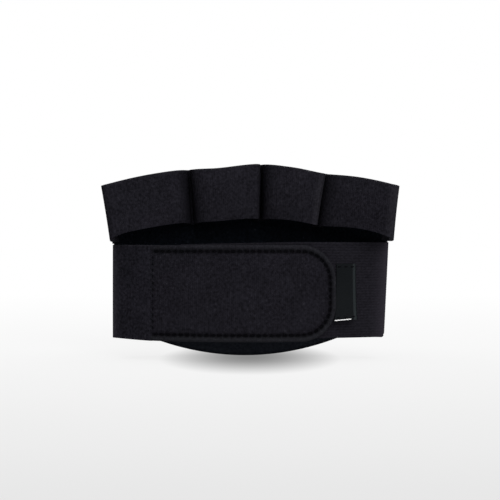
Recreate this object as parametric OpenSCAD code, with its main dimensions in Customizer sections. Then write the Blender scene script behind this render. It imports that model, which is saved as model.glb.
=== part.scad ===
/* [Palm pad] */
// Width of the pad where the hand strap is sewn on
palm_w = 109.2; // [100:0.2:120]
// Width of the pad along its finger edge
top_w = 114.6; // [110:0.2:122]
// Height from the lip to the top of the finger band
grip_h = 77; // [74:0.2:82]
// How far the pad's lining bows back behind the side seams
palm_bow = 13; // [9:0.5:18]
// Radius of the lip, the pad's lower edge
lip_r = 102; // [90:1:130]
// Rounding of the pad's corners
pad_corner_r = 3; // [1:0.5:4]
// How far the pad reaches past what is sewn to its sides
pad_margin = 0.4; // [0.3:0.1:1]
// Thickness of the grip skin on the palm side
face_t = 1.2; // [0.8:0.1:2]
// Thickness of the foam core
foam_t = 3; // [2:0.1:5]
// Thickness of the knit lining on the hand side
lining_t = 0.8; // [0.5:0.1:1.2]

/* [Finger band] */
// Thickness of the strip that makes the finger loops
finger_t = 1.8; // [1.2:0.1:2.4]
// How far the loops stand off the lining
finger_rise = 12; // [9:0.5:14]
// How much further they stand off at their middle
finger_crown = 1; // [0:0.2:2]
// Radius of the strip's upper edge
arch_r = 183; // [160:1:220]
// Radius of the strip's lower edge
arch_low_r = 200; // [175:1:240]
// Height of the lower edge above the lip, at its middle
arch_low_z = 56; // [55:0.2:60]
// Place of the first seam across the finger edge
seam_1_x = -24.4; // [-27:0.2:-21]
// Place of the second seam across the finger edge
seam_2_x = 4; // [1:0.2:7]
// Place of the third seam across the finger edge
seam_3_x = 29.2; // [26.6:0.2:32]
// Length of strip that is sewn flat at a seam
foot_w = 3.2; // [2.8:0.1:4]
// Width of a shoulder where a loop leans away from its seam
soft_shoulder = 8; // [6:0.5:9]
// Width of a shoulder where a loop stands up steeply
steep_shoulder = 3.6; // [2.6:0.2:6]
// Width of the shoulders at the two ends of the strip
outer_shoulder = 6; // [4:0.5:9]

/* [Hand strap] */
// How far the closed strap bows out in front of the side seams
strap_bow = 15; // [12:0.5:20]
// Height of both bands
band_h = 36.6; // [32:0.2:38]
// Height of the bands' lower edge above the lip
band_z = 8.6; // [7:0.2:9]
// Thickness of the left band
left_band_t = 2; // [1.4:0.1:2.4]
// Thickness of the elastic right band
right_band_t = 1.6; // [1:0.1:2.2]
// How far the right band reaches under the tab, left of the middle
right_band_reach = 27; // [18:0.5:32]

/* [Closure tab] */
// Distance of the tab's sewn end from the middle
tab_root_x = 39.2; // [36:0.2:42]
// Distance of the tab's free end from the middle
tab_tip_x = 33.2; // [28:0.2:34]
// Height of the tab
tab_h = 37.4; // [33:0.2:38.4]
// Corner radius of the tab's free end
tab_corner_r = 14; // [9:0.5:16]
// Thickness of the tab
tab_t = 2.4; // [1.6:0.1:3.2]
// Thickness of the hook patch under the tab
hook_t = 1; // [0.7:0.1:1.4]
// Distance of the hook patch from the tab's edge
hook_inset = 2; // [1.4:0.2:2.6]
// Thickness of the loop patch on the right band
loop_t = 1.2; // [0.8:0.1:1.6]
// Height of the loop patch
loop_h = 30; // [26:0.5:32]
// Distance of the loop patch from the ends of the right band's curved stretch
loop_inset = 1; // [0.6:0.2:3]

/* [Label and stitches] */
// Width of the blank woven label
label_w = 8; // [6:0.2:10]
// Height of the label
label_h = 22; // [18:0.2:26]
// Thickness of the label
label_t = 0.5; // [0.3:0.1:0.8]
// Distance of the label's middle from the tab's free end
label_gap = 4.6; // [4.4:0.2:7]
// Length of one stitch
stitch_l = 1.7; // [1.4:0.1:2]
// Step from one stitch to the next
stitch_step = 2.5; // [2.3:0.1:3.2]
// Thickness of the thread
thread_d = 0.5; // [0.3:0.05:0.7]
// Distance of the tab's stitches from its edge
tab_stitch_inset = 3; // [2.7:0.1:3.6]

/* [Clearances] */
// Gap between layers that are sewn or glued together
seat_gap = 0.05; // [0.03:0.01:0.1]
// Gap between pieces that move apart
move_gap = 0.3; // [0.2:0.05:0.5]

/* [Hidden] */
$fn = 96;

// A bow over a chord: the radius that gives it
function bow_radius(chord, bow) = (chord * chord / 4 + bow * bow) / (2 * bow);

// The pad's layers, from the lining's hand side outwards
lining_r = bow_radius(palm_w, palm_bow);
foam_r = lining_r + lining_t + seat_gap;
face_r = foam_r + foam_t + seat_gap;
pad_out_r = face_r + face_t;

// The strap's layers, from the closed tab's outer side inwards
strap_r = bow_radius(palm_w, strap_bow);
hook_r = strap_r - tab_t - seat_gap;
loop_r = hook_r - hook_t - move_gap;
right_r = loop_r - loop_t - seat_gap;

// The side seams lie in one plane, and the part's middle in depth is at zero
edge_y = (strap_bow - palm_bow - (pad_out_r - lining_r)) / 2;
palm_centre = [0, edge_y + palm_bow - lining_r];
strap_centre = [0, edge_y - strap_bow + strap_r];
far = 300;

// Heights of the tab and of the loop patch, which share the bands' middle line
band_mid_z = band_z + band_h / 2;
tab_z = band_mid_z - tab_h / 2;

// Heights along the finger band's edges
function arch_z(x, r, top) = top - r + sqrt(r * r - x * x);
function finger_top_z(x) = arch_z(x, arch_r, grip_h);
function finger_low_z(x) = arch_z(x, arch_low_r, arch_low_z);
shoulder_z = finger_top_z(top_w / 2);
waist_z = finger_low_z(palm_w / 2);

// Points on the pad's and the strap's arcs, at an angle from the middle
function palm_point(r, a) = palm_centre + r * [sin(a), cos(a)];
function strap_point(r, a) = strap_centre + r * [sin(a), -cos(a)];
tab_root_a = -asin(tab_root_x / strap_r);

// A strip of even thickness along a path in plan, with mitred corners
function unit(v) = v / norm(v);
function left_of(v) = [-v[1], v[0]];
function mitre(a, b, c) =
    let (n = left_of(unit(b - a)), m = unit(n + left_of(unit(c - b))))
    m / (m * n);
function shifted(path, d) =
    let (last = len(path) - 1)
    [for (i = [0:last])
        path[i] + d * (
            i == 0 ? left_of(unit(path[1] - path[0])) :
            i == last ? left_of(unit(path[last] - path[last - 1])) :
            mitre(path[i - 1], path[i], path[i + 1]))];
function reversed(list) = [for (i = [len(list) - 1:-1:0]) list[i]];
function strip(path, t) = concat(shifted(path, t / 2), reversed(shifted(path, -t / 2)));

// A shape in plan, raised to a height
module raised(z, h) {
    translate([0, 0, z]) linear_extrude(h) children();
}

// A shape seen from the front, running right through the part's depth
module through() {
    translate([0, far, 0]) rotate([90, 0, 0]) linear_extrude(2 * far) children();
}

// A layer between two radii of the pad, behind the side seams
module palm_arc(r_in, r_out) {
    intersection() {
        translate(palm_centre) difference() {
            circle(r_out);
            circle(r_in);
        }
        translate([-far, palm_centre[1] + lining_r / 2]) square([2 * far, far]);
    }
}

// A layer between two radii of the strap, between two angles
module strap_arc(r_in, r_out, a_0, a_1) {
    intersection() {
        translate(strap_centre) difference() {
            circle(r_out);
            circle(r_in);
        }
        polygon([strap_centre, strap_point(far, a_0), strap_point(far, a_1)]);
    }
}

// The room inside the lining, which the bands' sewn ends stop short of
module inside_lining(gap) {
    translate(palm_centre) circle(lining_r - gap);
}

// The pad's outline: finger arch above, sides that fan out upwards, and a lip that
// reaches below the bands. Its corners are rounded, hollow ones first.
module pad_outline() {
    low_x = palm_w / 2 + pad_margin;
    top_x = top_w / 2 + pad_margin;
    fan = (top_x - low_x) / (shoulder_z - waist_z);
    over_x = low_x + fan * (grip_h - waist_z);
    offset(r = pad_corner_r, $fn = 48)
        offset(r = -2 * pad_corner_r, $fn = 48)
        offset(delta = pad_corner_r) {
            intersection() {
                translate([0, grip_h - arch_r]) circle(arch_r, $fn = 240);
                polygon([
                    [-low_x, band_z], [low_x, band_z], [low_x, waist_z], [over_x, grip_h],
                    [-over_x, grip_h], [-low_x, waist_z]
                ]);
            }
            intersection() {
                translate([0, lip_r]) circle(lip_r, $fn = 160);
                translate([-low_x, 0]) square([2 * low_x, band_z + pad_corner_r]);
            }
        }
}

module pad_layer(r_in, r_out) {
    intersection() {
        raised(0, grip_h) palm_arc(r_in, r_out);
        through() pad_outline();
    }
}

module palm_face() {
    color("#17171a") pad_layer(face_r, pad_out_r);
}

module palm_foam() {
    color("#2b2b2e") pad_layer(foam_r, face_r - seat_gap);
}

module palm_lining() {
    color("#0d0d10") pad_layer(lining_r, foam_r - seat_gap);
}

// The finger band's plan, as distances along the lining and off it.
// A loop rises from its seam, runs level and comes down to the next seam.
function along(x) = lining_r * asin(x / lining_r) * PI / 180;
SEAMS = [for (x = [-top_w / 2, seam_1_x, seam_2_x, seam_3_x, top_w / 2]) along(x)];
SHOULDERS = [
    [outer_shoulder, soft_shoulder], [steep_shoulder, steep_shoulder],
    [soft_shoulder, steep_shoulder], [soft_shoulder, outer_shoulder]
];
shoulder_steps = 7;
level_steps = 6;
function shoulder(foot, width, lean) =
    [for (i = [0:shoulder_steps])
        let (t = 90 * i / shoulder_steps)
        [foot + width * (1 - cos(t)) + lean * sin(t), finger_rise * sin(t)]];
function level(from, to) =
    [for (i = [1:level_steps - 1])
        let (t = i / level_steps)
        [from + (to - from) * t, finger_rise + finger_crown * sin(180 * t)]];
function loop_line(from, to, shoulders, leans) =
    let (
        rising = shoulder(from + foot_w / 2, shoulders[0], -leans[0]),
        falling = shoulder(to - foot_w / 2, -shoulders[1], leans[1])
    )
    concat(rising, level(rising[shoulder_steps][0], falling[shoulder_steps][0]), reversed(falling));

// The outer loops lean out until they are about as wide as the finger edge
outer_r = lining_r - finger_rise;
outer_lean = lining_r * asin((top_w + outer_shoulder) / 2 / outer_r) * PI / 180 - SEAMS[4];
LEANS = [[outer_lean, 0], [0, 0], [0, 0], [0, outer_lean]];
FINGER_LINE = concat(
    [[SEAMS[0], 0]],
    [for (i = [0:3]) each loop_line(SEAMS[i], SEAMS[i + 1], SHOULDERS[i], LEANS[i])],
    [[SEAMS[4], 0]]
);

// The strip narrows with the pad: share 0 is its lower edge and share 1 its upper one
function fan_at(share) = (palm_w + (top_w - palm_w) * share) / top_w;
function finger_path(share) =
    [for (p = FINGER_LINE)
        palm_point(lining_r - seat_gap - finger_t / 2 - p[1], p[0] * fan_at(share) / lining_r * 180 / PI)];
function finger_edge(share) =
    [for (p = strip(finger_path(share), finger_t))
        let (low = finger_low_z(p[0]), top = finger_top_z(p[0]))
        [p[0], p[1], low + (top - low) * share]];

module finger_band() {
    count = len(FINGER_LINE);
    ring = 2 * count;
    walls = [for (i = [0:ring - 1])
        let (k = (i + 1) % ring)
        each [[i, k, ring + k], [i, ring + k, ring + i]]];
    rims = [for (i = [0:count - 2])
        let (a = i, b = i + 1, c = ring - 2 - i, d = ring - 1 - i)
        each [[a, c, b], [a, d, c], [ring + a, ring + b, ring + c], [ring + a, ring + c, ring + d]]];
    color("#1d1d20") polyhedron(concat(finger_edge(0), finger_edge(1)), concat(walls, rims));
}

// One stitch, flat on the page: its middle, and the way it runs
module stitch(place, heading) {
    translate(place) rotate(heading) square([stitch_l, thread_d], center = true);
}

// Stitches drawn from the front, laid on the palm side of the pad
module on_palm_face() {
    intersection() {
        raised(0, grip_h) palm_arc(pad_out_r + seat_gap, pad_out_r + seat_gap + thread_d / 2);
        through() children();
    }
}

// Rows of stitches that hold the finger band's feet
module finger_stitching() {
    feet = concat([SEAMS[0] + foot_w / 2], [SEAMS[1], SEAMS[2], SEAMS[3]], [SEAMS[4] - foot_w / 2]);
    color("#08080a") on_palm_face() for (s = feet) {
        a = s / lining_r * 180 / PI;
        top_x = lining_r * sin(a);
        low_x = lining_r * sin(a * fan_at(0));
        low = [low_x, finger_low_z(low_x)];
        run = [top_x, finger_top_z(top_x)] - low;
        count = floor(norm(run) / stitch_step) - 1;
        for (i = [1:count]) stitch(low + run * i / (count + 1), atan2(run[1], run[0]));
    }
}

// Rows of stitches that hold the two bands' ends
module side_stitching() {
    x = palm_w / 2 - foot_w / 2;
    count = floor(band_h / stitch_step) - 1;
    color("#08080a") on_palm_face()
        for (side = [-1, 1]) for (i = [1:count]) stitch([side * x, band_z + band_h * i / (count + 1)], 90);
}

// The right band follows the closed tab, then runs straight to the right side seam
right_mid_r = right_r - right_band_t / 2;
right_end = [palm_w / 2 - right_band_t / 2, edge_y];
right_reach = right_end - strap_centre;
straight_a = atan2(right_reach[0], -right_reach[1]) - acos(right_mid_r / norm(right_reach));
free_a = -asin(right_band_reach / right_mid_r);
bend_steps = 24;
right_path = concat(
    [for (i = [0:bend_steps])
        strap_point(right_mid_r, free_a + (straight_a - free_a) * i / bend_steps)],
    [right_end + right_band_t * [cos(straight_a), sin(straight_a)]]
);

module right_band() {
    color("#1a1a1d") raised(band_z, band_h) intersection() {
        polygon(strip(right_path, right_band_t));
        inside_lining(seat_gap);
        translate([-palm_w / 2, -far]) square([palm_w, 2 * far]);
    }
}

// The loop patch lies on the curved stretch of the right band
module loop_patch() {
    end_gap = asin(loop_inset / right_mid_r);
    color("#121214") raised(band_mid_z - loop_h / 2, loop_h)
        strap_arc(loop_r - loop_t, loop_r, free_a + end_gap, straight_a - end_gap);
}

// The label lies flat on the straight stretch of the right band
module on_right_band() {
    run = (tab_tip_x + label_gap) / cos(straight_a) - right_r * tan(straight_a);
    foot = strap_point(right_r, straight_a) + run * [cos(straight_a), sin(straight_a)];
    translate([foot[0], foot[1], band_mid_z]) rotate([90, 0, straight_a]) children();
}

module woven_label() {
    color("#15191b") on_right_band() translate([-label_w / 2, -label_h / 2, seat_gap])
        cube([label_w, label_h, label_t]);
}

module label_stitching() {
    count = floor(label_w / stitch_step);
    row_z = label_h / 2 - thread_d * 2;
    color("#08080a") on_right_band() translate([0, 0, label_t + 2 * seat_gap])
        linear_extrude(thread_d / 2)
        for (end = [-1, 1]) for (i = [0:count - 1])
            stitch([(i - (count - 1) / 2) * stitch_step, end * row_z], 0);
}

module left_band() {
    color("#1b1b1e") raised(band_z, band_h) intersection() {
        strap_arc(strap_r - left_band_t, strap_r, -90, tab_root_a);
        inside_lining(move_gap);
    }
}

// The tab's outline from the front, drawn in by an inset
module tab_outline(inset) {
    r = tab_corner_r - inset;
    x_1 = tab_tip_x - inset;
    z_0 = tab_z + inset;
    z_1 = tab_z + tab_h - inset;
    x_0 = -tab_root_x;
    translate([x_0, z_0]) square([x_1 - r - x_0, z_1 - z_0]);
    translate([x_0, z_0 + r]) square([x_1 - x_0, z_1 - z_0 - 2 * r]);
    for (z = [z_0 + r, z_1 - r]) translate([x_1 - r, z]) circle(r);
}

module tab_layer(r_in, r_out, inset, root_gap) {
    start_a = tab_root_a + asin(root_gap / strap_r);
    intersection() {
        raised(0, grip_h) strap_arc(r_in, r_out, start_a, 60);
        through() tab_outline(inset);
    }
}

module closure_tab() {
    color("#1d1d20") tab_layer(strap_r - tab_t, strap_r, 0, move_gap);
}

module hook_patch() {
    color("#0a0a0c") tab_layer(hook_r - hook_t, hook_r, hook_inset, hook_inset);
}

// The tab's row of stitches: along the lower edge, round the free end, back along the
// upper edge and down beside the sewn end. A place is [x, z, heading].
stitch_r = tab_corner_r - tab_stitch_inset;
stitch_x_0 = -tab_root_x + move_gap + thread_d * 2;
stitch_x_1 = tab_tip_x - tab_stitch_inset;
stitch_z_0 = tab_z + tab_stitch_inset;
stitch_z_1 = tab_z + tab_h - tab_stitch_inset;
level_run = stitch_x_1 - stitch_r - stitch_x_0;
round_run = stitch_r * PI / 2;
tip_run = stitch_z_1 - stitch_z_0 - 2 * stitch_r;
root_run = stitch_z_1 - stitch_z_0;
free_run = 2 * level_run + 2 * round_run + tip_run;
function round_place(z, a) = [stitch_x_1 - stitch_r + stitch_r * cos(a), z + stitch_r * sin(a), a + 90];
function tab_place(d) =
    let (arc_1 = d - level_run, tip = arc_1 - round_run, arc_2 = tip - tip_run, back = arc_2 - round_run)
    arc_1 < 0 ? [stitch_x_0 + d, stitch_z_0, 0] :
    tip < 0 ? round_place(stitch_z_0 + stitch_r, arc_1 / round_run * 90 - 90) :
    arc_2 < 0 ? [stitch_x_1, stitch_z_0 + stitch_r + tip, 90] :
    back < 0 ? round_place(stitch_z_1 - stitch_r, arc_2 / round_run * 90) :
    [stitch_x_1 - stitch_r - back, stitch_z_1, 180];

module tab_stitching() {
    free_count = floor(free_run / stitch_step);
    root_count = floor(root_run / stitch_step) - 1;
    color("#08080a") intersection() {
        raised(0, grip_h) strap_arc(strap_r + seat_gap, strap_r + seat_gap + thread_d / 2, -60, 60);
        through() {
            for (i = [0:free_count - 1]) {
                place = tab_place((i + 0.5) * free_run / free_count);
                stitch([place[0], place[1]], place[2]);
            }
            for (i = [1:root_count])
                stitch([stitch_x_0, stitch_z_0 + root_run * i / (root_count + 1)], 90);
        }
    }
}

palm_face();
palm_foam();
palm_lining();
finger_band();
finger_stitching();
side_stitching();
right_band();
loop_patch();
woven_label();
label_stitching();
left_band();
closure_tab();
hook_patch();
tab_stitching();
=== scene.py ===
# %% [markdown]
# # A palm grip with finger loops and a hand strap
# The real object is sewn sports gear. A laminated pad lies in the palm, one knit strip makes four
# finger loops, and a strap with a hook-and-loop tab closes over the back of the hand.
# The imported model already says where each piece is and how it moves. It is loaded first, and every
# piece below dresses one of its solids, at the same place and in the same frame.
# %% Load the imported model
import math
import random
import bpy
from mathutils import Matrix, Vector


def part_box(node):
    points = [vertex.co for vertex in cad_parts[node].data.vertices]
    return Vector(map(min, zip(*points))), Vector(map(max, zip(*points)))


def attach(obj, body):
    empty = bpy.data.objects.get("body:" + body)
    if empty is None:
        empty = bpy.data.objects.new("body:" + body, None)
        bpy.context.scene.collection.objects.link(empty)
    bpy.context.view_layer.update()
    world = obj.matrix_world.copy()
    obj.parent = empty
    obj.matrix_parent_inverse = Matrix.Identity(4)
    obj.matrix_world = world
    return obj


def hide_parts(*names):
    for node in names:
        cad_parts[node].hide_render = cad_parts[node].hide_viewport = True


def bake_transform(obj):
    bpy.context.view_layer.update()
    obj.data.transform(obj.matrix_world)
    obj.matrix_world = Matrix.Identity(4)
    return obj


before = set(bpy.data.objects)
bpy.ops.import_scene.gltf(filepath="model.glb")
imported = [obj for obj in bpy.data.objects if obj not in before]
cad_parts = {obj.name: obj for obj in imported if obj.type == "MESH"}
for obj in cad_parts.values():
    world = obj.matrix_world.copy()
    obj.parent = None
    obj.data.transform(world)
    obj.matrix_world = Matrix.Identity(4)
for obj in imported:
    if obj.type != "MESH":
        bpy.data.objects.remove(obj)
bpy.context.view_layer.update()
MM = 0.001
print("nodes:", ", ".join(sorted(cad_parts)))

# %% [markdown]
# ## The two arcs that everything follows
# Seen from above, the pad is an arc that bows back, and the closed strap is an arc that bows forward.
# They meet at the two side seams. Each arc could be read off a mesh, but a bow over a known width
# gives its radius exactly, so a few sizes in millimetres are enough.
# %% Arcs of the pad and the strap
PALM_W = 109.2
PALM_BOW = 13
STRAP_BOW = 15
LINING_T = 0.8
FOAM_T = 3
FACE_T = 1.2
SEAT_GAP = 0.05


def bow_radius(chord, bow):
    return (chord * chord / 4 + bow * bow) / (2 * bow)


LINING_R = bow_radius(PALM_W, PALM_BOW)
STRAP_R = bow_radius(PALM_W, STRAP_BOW)
PAD_T = LINING_T + FOAM_T + FACE_T + 2 * SEAT_GAP
EDGE_Y = (STRAP_BOW - PALM_BOW - PAD_T) / 2
PALM_Y = EDGE_Y + PALM_BOW - LINING_R
STRAP_Y = EDGE_Y - STRAP_BOW + STRAP_R


def on_palm(along, off, z):
    """A point at an arc length along the lining's hand side, off it towards the palm, at a height."""
    turn = along / LINING_R
    r = LINING_R + off
    return (r * math.sin(turn), PALM_Y + r * math.cos(turn), z)


def on_strap(along, off, z):
    """A point at an arc length along the strap's outer side, off it towards the viewer, at a height."""
    turn = along / STRAP_R
    r = STRAP_R + off
    return (r * math.sin(turn), STRAP_Y - r * math.cos(turn), z)


def palm_along(x, off=0):
    return LINING_R * math.asin(x / (LINING_R + off))


def strap_along(x):
    return STRAP_R * math.asin(x / STRAP_R)


def node_box(node):
    """A solid's lowest and highest corners, in millimetres."""
    low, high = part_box(node)
    return [v / MM for v in low], [v / MM for v in high]


print(f"lining radius {LINING_R:.1f} mm, strap radius {STRAP_R:.1f} mm")

# %% [markdown]
# ## Cloth: cut flat, then laid in place
# Every sheet here starts as a cutter would start it: a flat grid of its real size. The flat place of
# each point is kept as an attribute, so that a knit or a rib follows the cloth round every bend.
# The points are then moved onto the form. A simulation would also do, but these pieces are sewn tight and
# keep their form.
# %% Cutting and laying cloth
def deselect_all():
    bpy.ops.object.select_all(action="DESELECT")


def pick(piece):
    deselect_all()
    piece.select_set(True)
    bpy.context.view_layer.objects.active = piece


def keep_flat(piece, places):
    """Stores each point's flat place on the cloth, in millimetres."""
    flat = piece.data.attributes.new("cloth", "FLOAT_VECTOR", "POINT")
    flat.data.foreach_set("vector", [v for p in places for v in (p[0], p[1], 0)])


def keep_share(piece, name, share):
    """Stores a share from 0 to 1 for each point, by its place."""
    kept = piece.data.attributes.new(name, "FLOAT", "POINT")
    kept.data.foreach_set("value", [share(v.co) for v in piece.data.vertices])


def cut_cloth(name, size, steps):
    """A flat rectangle of cloth, centred, with its grid of points."""
    deselect_all()
    bpy.ops.mesh.primitive_grid_add(x_subdivisions=steps[0], y_subdivisions=steps[1], size=1)
    piece = bpy.context.object
    piece.name = name
    piece.data.name = name
    piece.data.transform(Matrix.Diagonal((size[0], size[1], 1, 1)))
    keep_flat(piece, [(v.co.x, v.co.y) for v in piece.data.vertices])
    return piece


def lay(piece, place):
    """Moves each point from its flat place to the place on the form."""
    for v in piece.data.vertices:
        v.co = Vector(place(v.co.x, v.co.y)) * MM
    piece.data.update()


def sewn_mesh(name, points, faces, flat):
    """A piece from points in millimetres, with their flat places."""
    mesh = bpy.data.meshes.new(name)
    mesh.from_pydata([Vector(p) * MM for p in points], [], faces)
    piece = bpy.data.objects.new(name, mesh)
    bpy.context.scene.collection.objects.link(piece)
    keep_flat(piece, flat)
    return piece


print("cloth is cut flat and laid on the form, and keeps its flat place")

# %% [markdown]
# Laid cloth is still a sheet without thickness. Solidify gives it one, and Bevel a soft cut edge. Both are
# applied at once, because the frame takes over finished meshes.
# %% Thickness and soft edges
SHARP_ANGLE = 50
EDGE_SEGMENTS = 3


def apply(piece, kind, **settings):
    pick(piece)
    modifier = piece.modifiers.new(kind.title(), kind)
    for key, value in settings.items():
        setattr(modifier, key, value)
    bpy.ops.object.modifier_apply(modifier=modifier.name)


def face_outwards(piece, merge=0.0):
    """Merges doubled points and turns all faces outwards."""
    pick(piece)
    bpy.ops.object.mode_set(mode="EDIT")
    bpy.ops.mesh.select_all(action="SELECT")
    if merge:
        bpy.ops.mesh.remove_doubles(threshold=merge * MM)
    bpy.ops.mesh.normals_make_consistent(inside=False)
    bpy.ops.object.mode_set(mode="OBJECT")


def soften(piece, angle=SHARP_ANGLE):
    pick(piece)
    bpy.ops.object.shade_smooth_by_angle(angle=math.radians(angle))


def thicken(piece, thickness, edge):
    """Gives a laid cloth its thickness, half to each side, and rounds its cut edges."""
    apply(piece, "SOLIDIFY", thickness=thickness * MM, offset=0, use_even_offset=True)
    face_outwards(piece)
    sharp = math.radians(SHARP_ANGLE)
    apply(piece, "BEVEL", width=edge * MM, segments=EDGE_SEGMENTS, limit_method="ANGLE", angle_limit=sharp)
    soften(piece)


def mix(a, b, share):
    return a + (b - a) * share


def hump(share):
    """A smooth swell that is 0 at both ends of 0 to 1, and 1 in the middle."""
    return math.sin(math.pi * min(max(share, 0), 1))


def faces_of(piece):
    return len(piece.data.polygons)


print(f"cut edges are rounded where faces meet at more than {SHARP_ANGLE} degrees")

# %% [markdown]
# ## The pad's outline
# From the front the pad has an arch along the fingers, sides that fan out, and a round lip below the
# strap. Two of the solids say how high the pad is and where the strap lies, and a few radii and widths
# give the rest.
# %% Edges of the pad
TOP_W = 114.6
PAD_TUCK = 0.3
ARCH_R = 183
ARCH_LOW_R = 200
ARCH_LOW_Z = 56
LIP_R = 96
LIP_X = -2
RIGHT_SLANT = 1.7
GRIP_H = node_box("palm_face")[1][2]
BAND_Z = node_box("left_band")[0][2]
BAND_TOP = node_box("left_band")[1][2]


def arch_z(x, r, top):
    return top - r + math.sqrt(r * r - x * x)


def finger_top_z(x):
    return arch_z(x, ARCH_R, GRIP_H)


def finger_low_z(x):
    return arch_z(x, ARCH_LOW_R, ARCH_LOW_Z)


LOW_X = PALM_W / 2 - PAD_TUCK
TOP_X = TOP_W / 2 - PAD_TUCK
WAIST_Z = finger_low_z(PALM_W / 2)
SIDE_FAN = (TOP_X - LOW_X) / (finger_top_z(TOP_W / 2) - WAIST_Z)


def right_slant(z):
    """The right side draws in downwards, where the elastic pulls at it."""
    return RIGHT_SLANT * max(0, WAIST_Z - z) / (WAIST_Z - BAND_Z)


print(f"the sides start to fan out at a height of {WAIST_Z:.1f} mm")

# %% [markdown]
# These edges could be drawn as a curve with many handles. Asking for each direction how far the pad
# reaches from its middle is shorter, and a running average of that reach rounds every corner.
# %% Outline of the pad
PAD_MIDDLE_Z = 40
RAYS = 480
CORNER_RAYS = 3
HALVINGS = 40


def in_pad(x, z):
    under_arch = math.hypot(x, z - GRIP_H + ARCH_R) < ARCH_R
    over_lip = z > BAND_Z or math.hypot(x - LIP_X, z - LIP_R) < LIP_R
    side = LOW_X + SIDE_FAN * max(0, z - WAIST_Z)
    return -side < x < side - right_slant(z) and under_arch and over_lip


def reach_towards(angle):
    """How far the pad reaches from its middle in a direction, by halving the doubt."""
    inside = 0
    outside = 2 * TOP_W
    for _ in range(HALVINGS):
        middle = (inside + outside) / 2
        if in_pad(middle * math.cos(angle), PAD_MIDDLE_Z + middle * math.sin(angle)):
            inside = middle
        else:
            outside = middle
    return inside


sharp_reach = [reach_towards(2 * math.pi * i / RAYS) for i in range(RAYS)]
window = range(-CORNER_RAYS, CORNER_RAYS + 1)
pad_reach = [sum(sharp_reach[(i + k) % RAYS] for k in window) / len(window) for i in range(RAYS)]


def pad_edge_gap(x, z):
    """How far a point of the front view lies inside the pad's outline."""
    angle = math.atan2(z - PAD_MIDDLE_Z, x) % (2 * math.pi)
    return pad_reach[round(angle / (2 * math.pi) * RAYS) % RAYS] - math.hypot(x, z - PAD_MIDDLE_Z)


print(f"pad outline: {RAYS} points, {min(pad_reach):.1f} to {max(pad_reach):.1f} mm from its middle")

# %% [markdown]
# ## Rows of stitches
# The seams decide how the soft pieces are pulled in, so their places come before the pieces. A row is a
# line in the front view, cut into even steps. The rows on the palm side hold the finger strip's feet
# and the strap's two ends.
# %% Places of the stitch rows on the pad
SEAM_X = [-TOP_W / 2, -24.4, 4, 29.2, TOP_W / 2]
SEAMS = [palm_along(x) for x in SEAM_X]
FOOT_W = 3.2
STITCH_STEP = 2.5
STITCH_L = 1.9
THREAD_D = 0.5


def fan_at(share):
    """The finger strip narrows with the pad: share 0 is its lower edge and 1 its upper edge."""
    return mix(PALM_W, TOP_W, share) / TOP_W


def finger_row(seam):
    """Lower and upper end of the stitch row at a foot of the finger strip, from the front."""
    low_x = LINING_R * math.sin(seam / LINING_R * fan_at(0))
    top_x = LINING_R * math.sin(seam / LINING_R)
    return (low_x, finger_low_z(low_x)), (top_x, finger_top_z(top_x))


feet = [SEAMS[0] + FOOT_W / 2, *SEAMS[1:4], SEAMS[4] - FOOT_W / 2]
finger_rows = [finger_row(seam) for seam in feet]
SIDE_ROW_X = PALM_W / 2 - FOOT_W / 2
side_rows = [((x, BAND_Z), (x, BAND_TOP)) for x in (-SIDE_ROW_X, SIDE_ROW_X)]


def row_gap(x, z, row):
    """Distance of a point from a stitch row, in the front view."""
    (x0, z0), (x1, z1) = row
    run = (x1 - x0) ** 2 + (z1 - z0) ** 2
    share = min(max(((x - x0) * (x1 - x0) + (z - z0) * (z1 - z0)) / run, 0), 1)
    return math.hypot(x - mix(x0, x1, share), z - mix(z0, z1, share))


def nearest_row(x, z):
    return min(row_gap(x, z, row) for row in finger_rows + side_rows)


print(f"{len(finger_rows)} rows hold the finger strip and {len(side_rows)} hold the strap")

# %% [markdown]
# ## The pad's three layers
# The pad is a laminate: a thin jersey lining against the hand, a foam core, and a rubber grip skin
# outside. Each layer is built from rings that run from the middle of its hand side to its cut edge and
# back to the middle of its palm side. Rings follow the outline, so the cut edge can be rounded evenly,
# and the skin can be drawn in along the seams.
# %% Layers of the pad
PULL_DEPTH = 0.45
PULL_W = 1.3
EDGE_STEPS = 4
# Rings of points, as shares of the way out and then as insets from the edge, closer together towards it
MIDDLE_SHARES = [0.1 + 0.15 * i for i in range(6)]
EDGE_INSETS = [28 - 1.2 * i for i in range(16)] + [*range(9, 2, -1), 2.2, 1.5, 1]


def pulled(x, z):
    """How far the seams draw the grip skin in."""
    return PULL_DEPTH * math.exp(-((nearest_row(x, z) / PULL_W) ** 2))


def not_pulled(x, z):
    return 0


def edge_profile(thick, bevel):
    """Insets and depths round a cut edge, from the hand side to the palm side."""
    turns = [math.pi / 2 * i / EDGE_STEPS for i in range(EDGE_STEPS + 1)]
    rounded = [(bevel * (1 - math.sin(t)), bevel * (1 - math.cos(t))) for t in turns]
    return rounded + [(inset, thick - depth) for inset, depth in reversed(rounded)]


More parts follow.
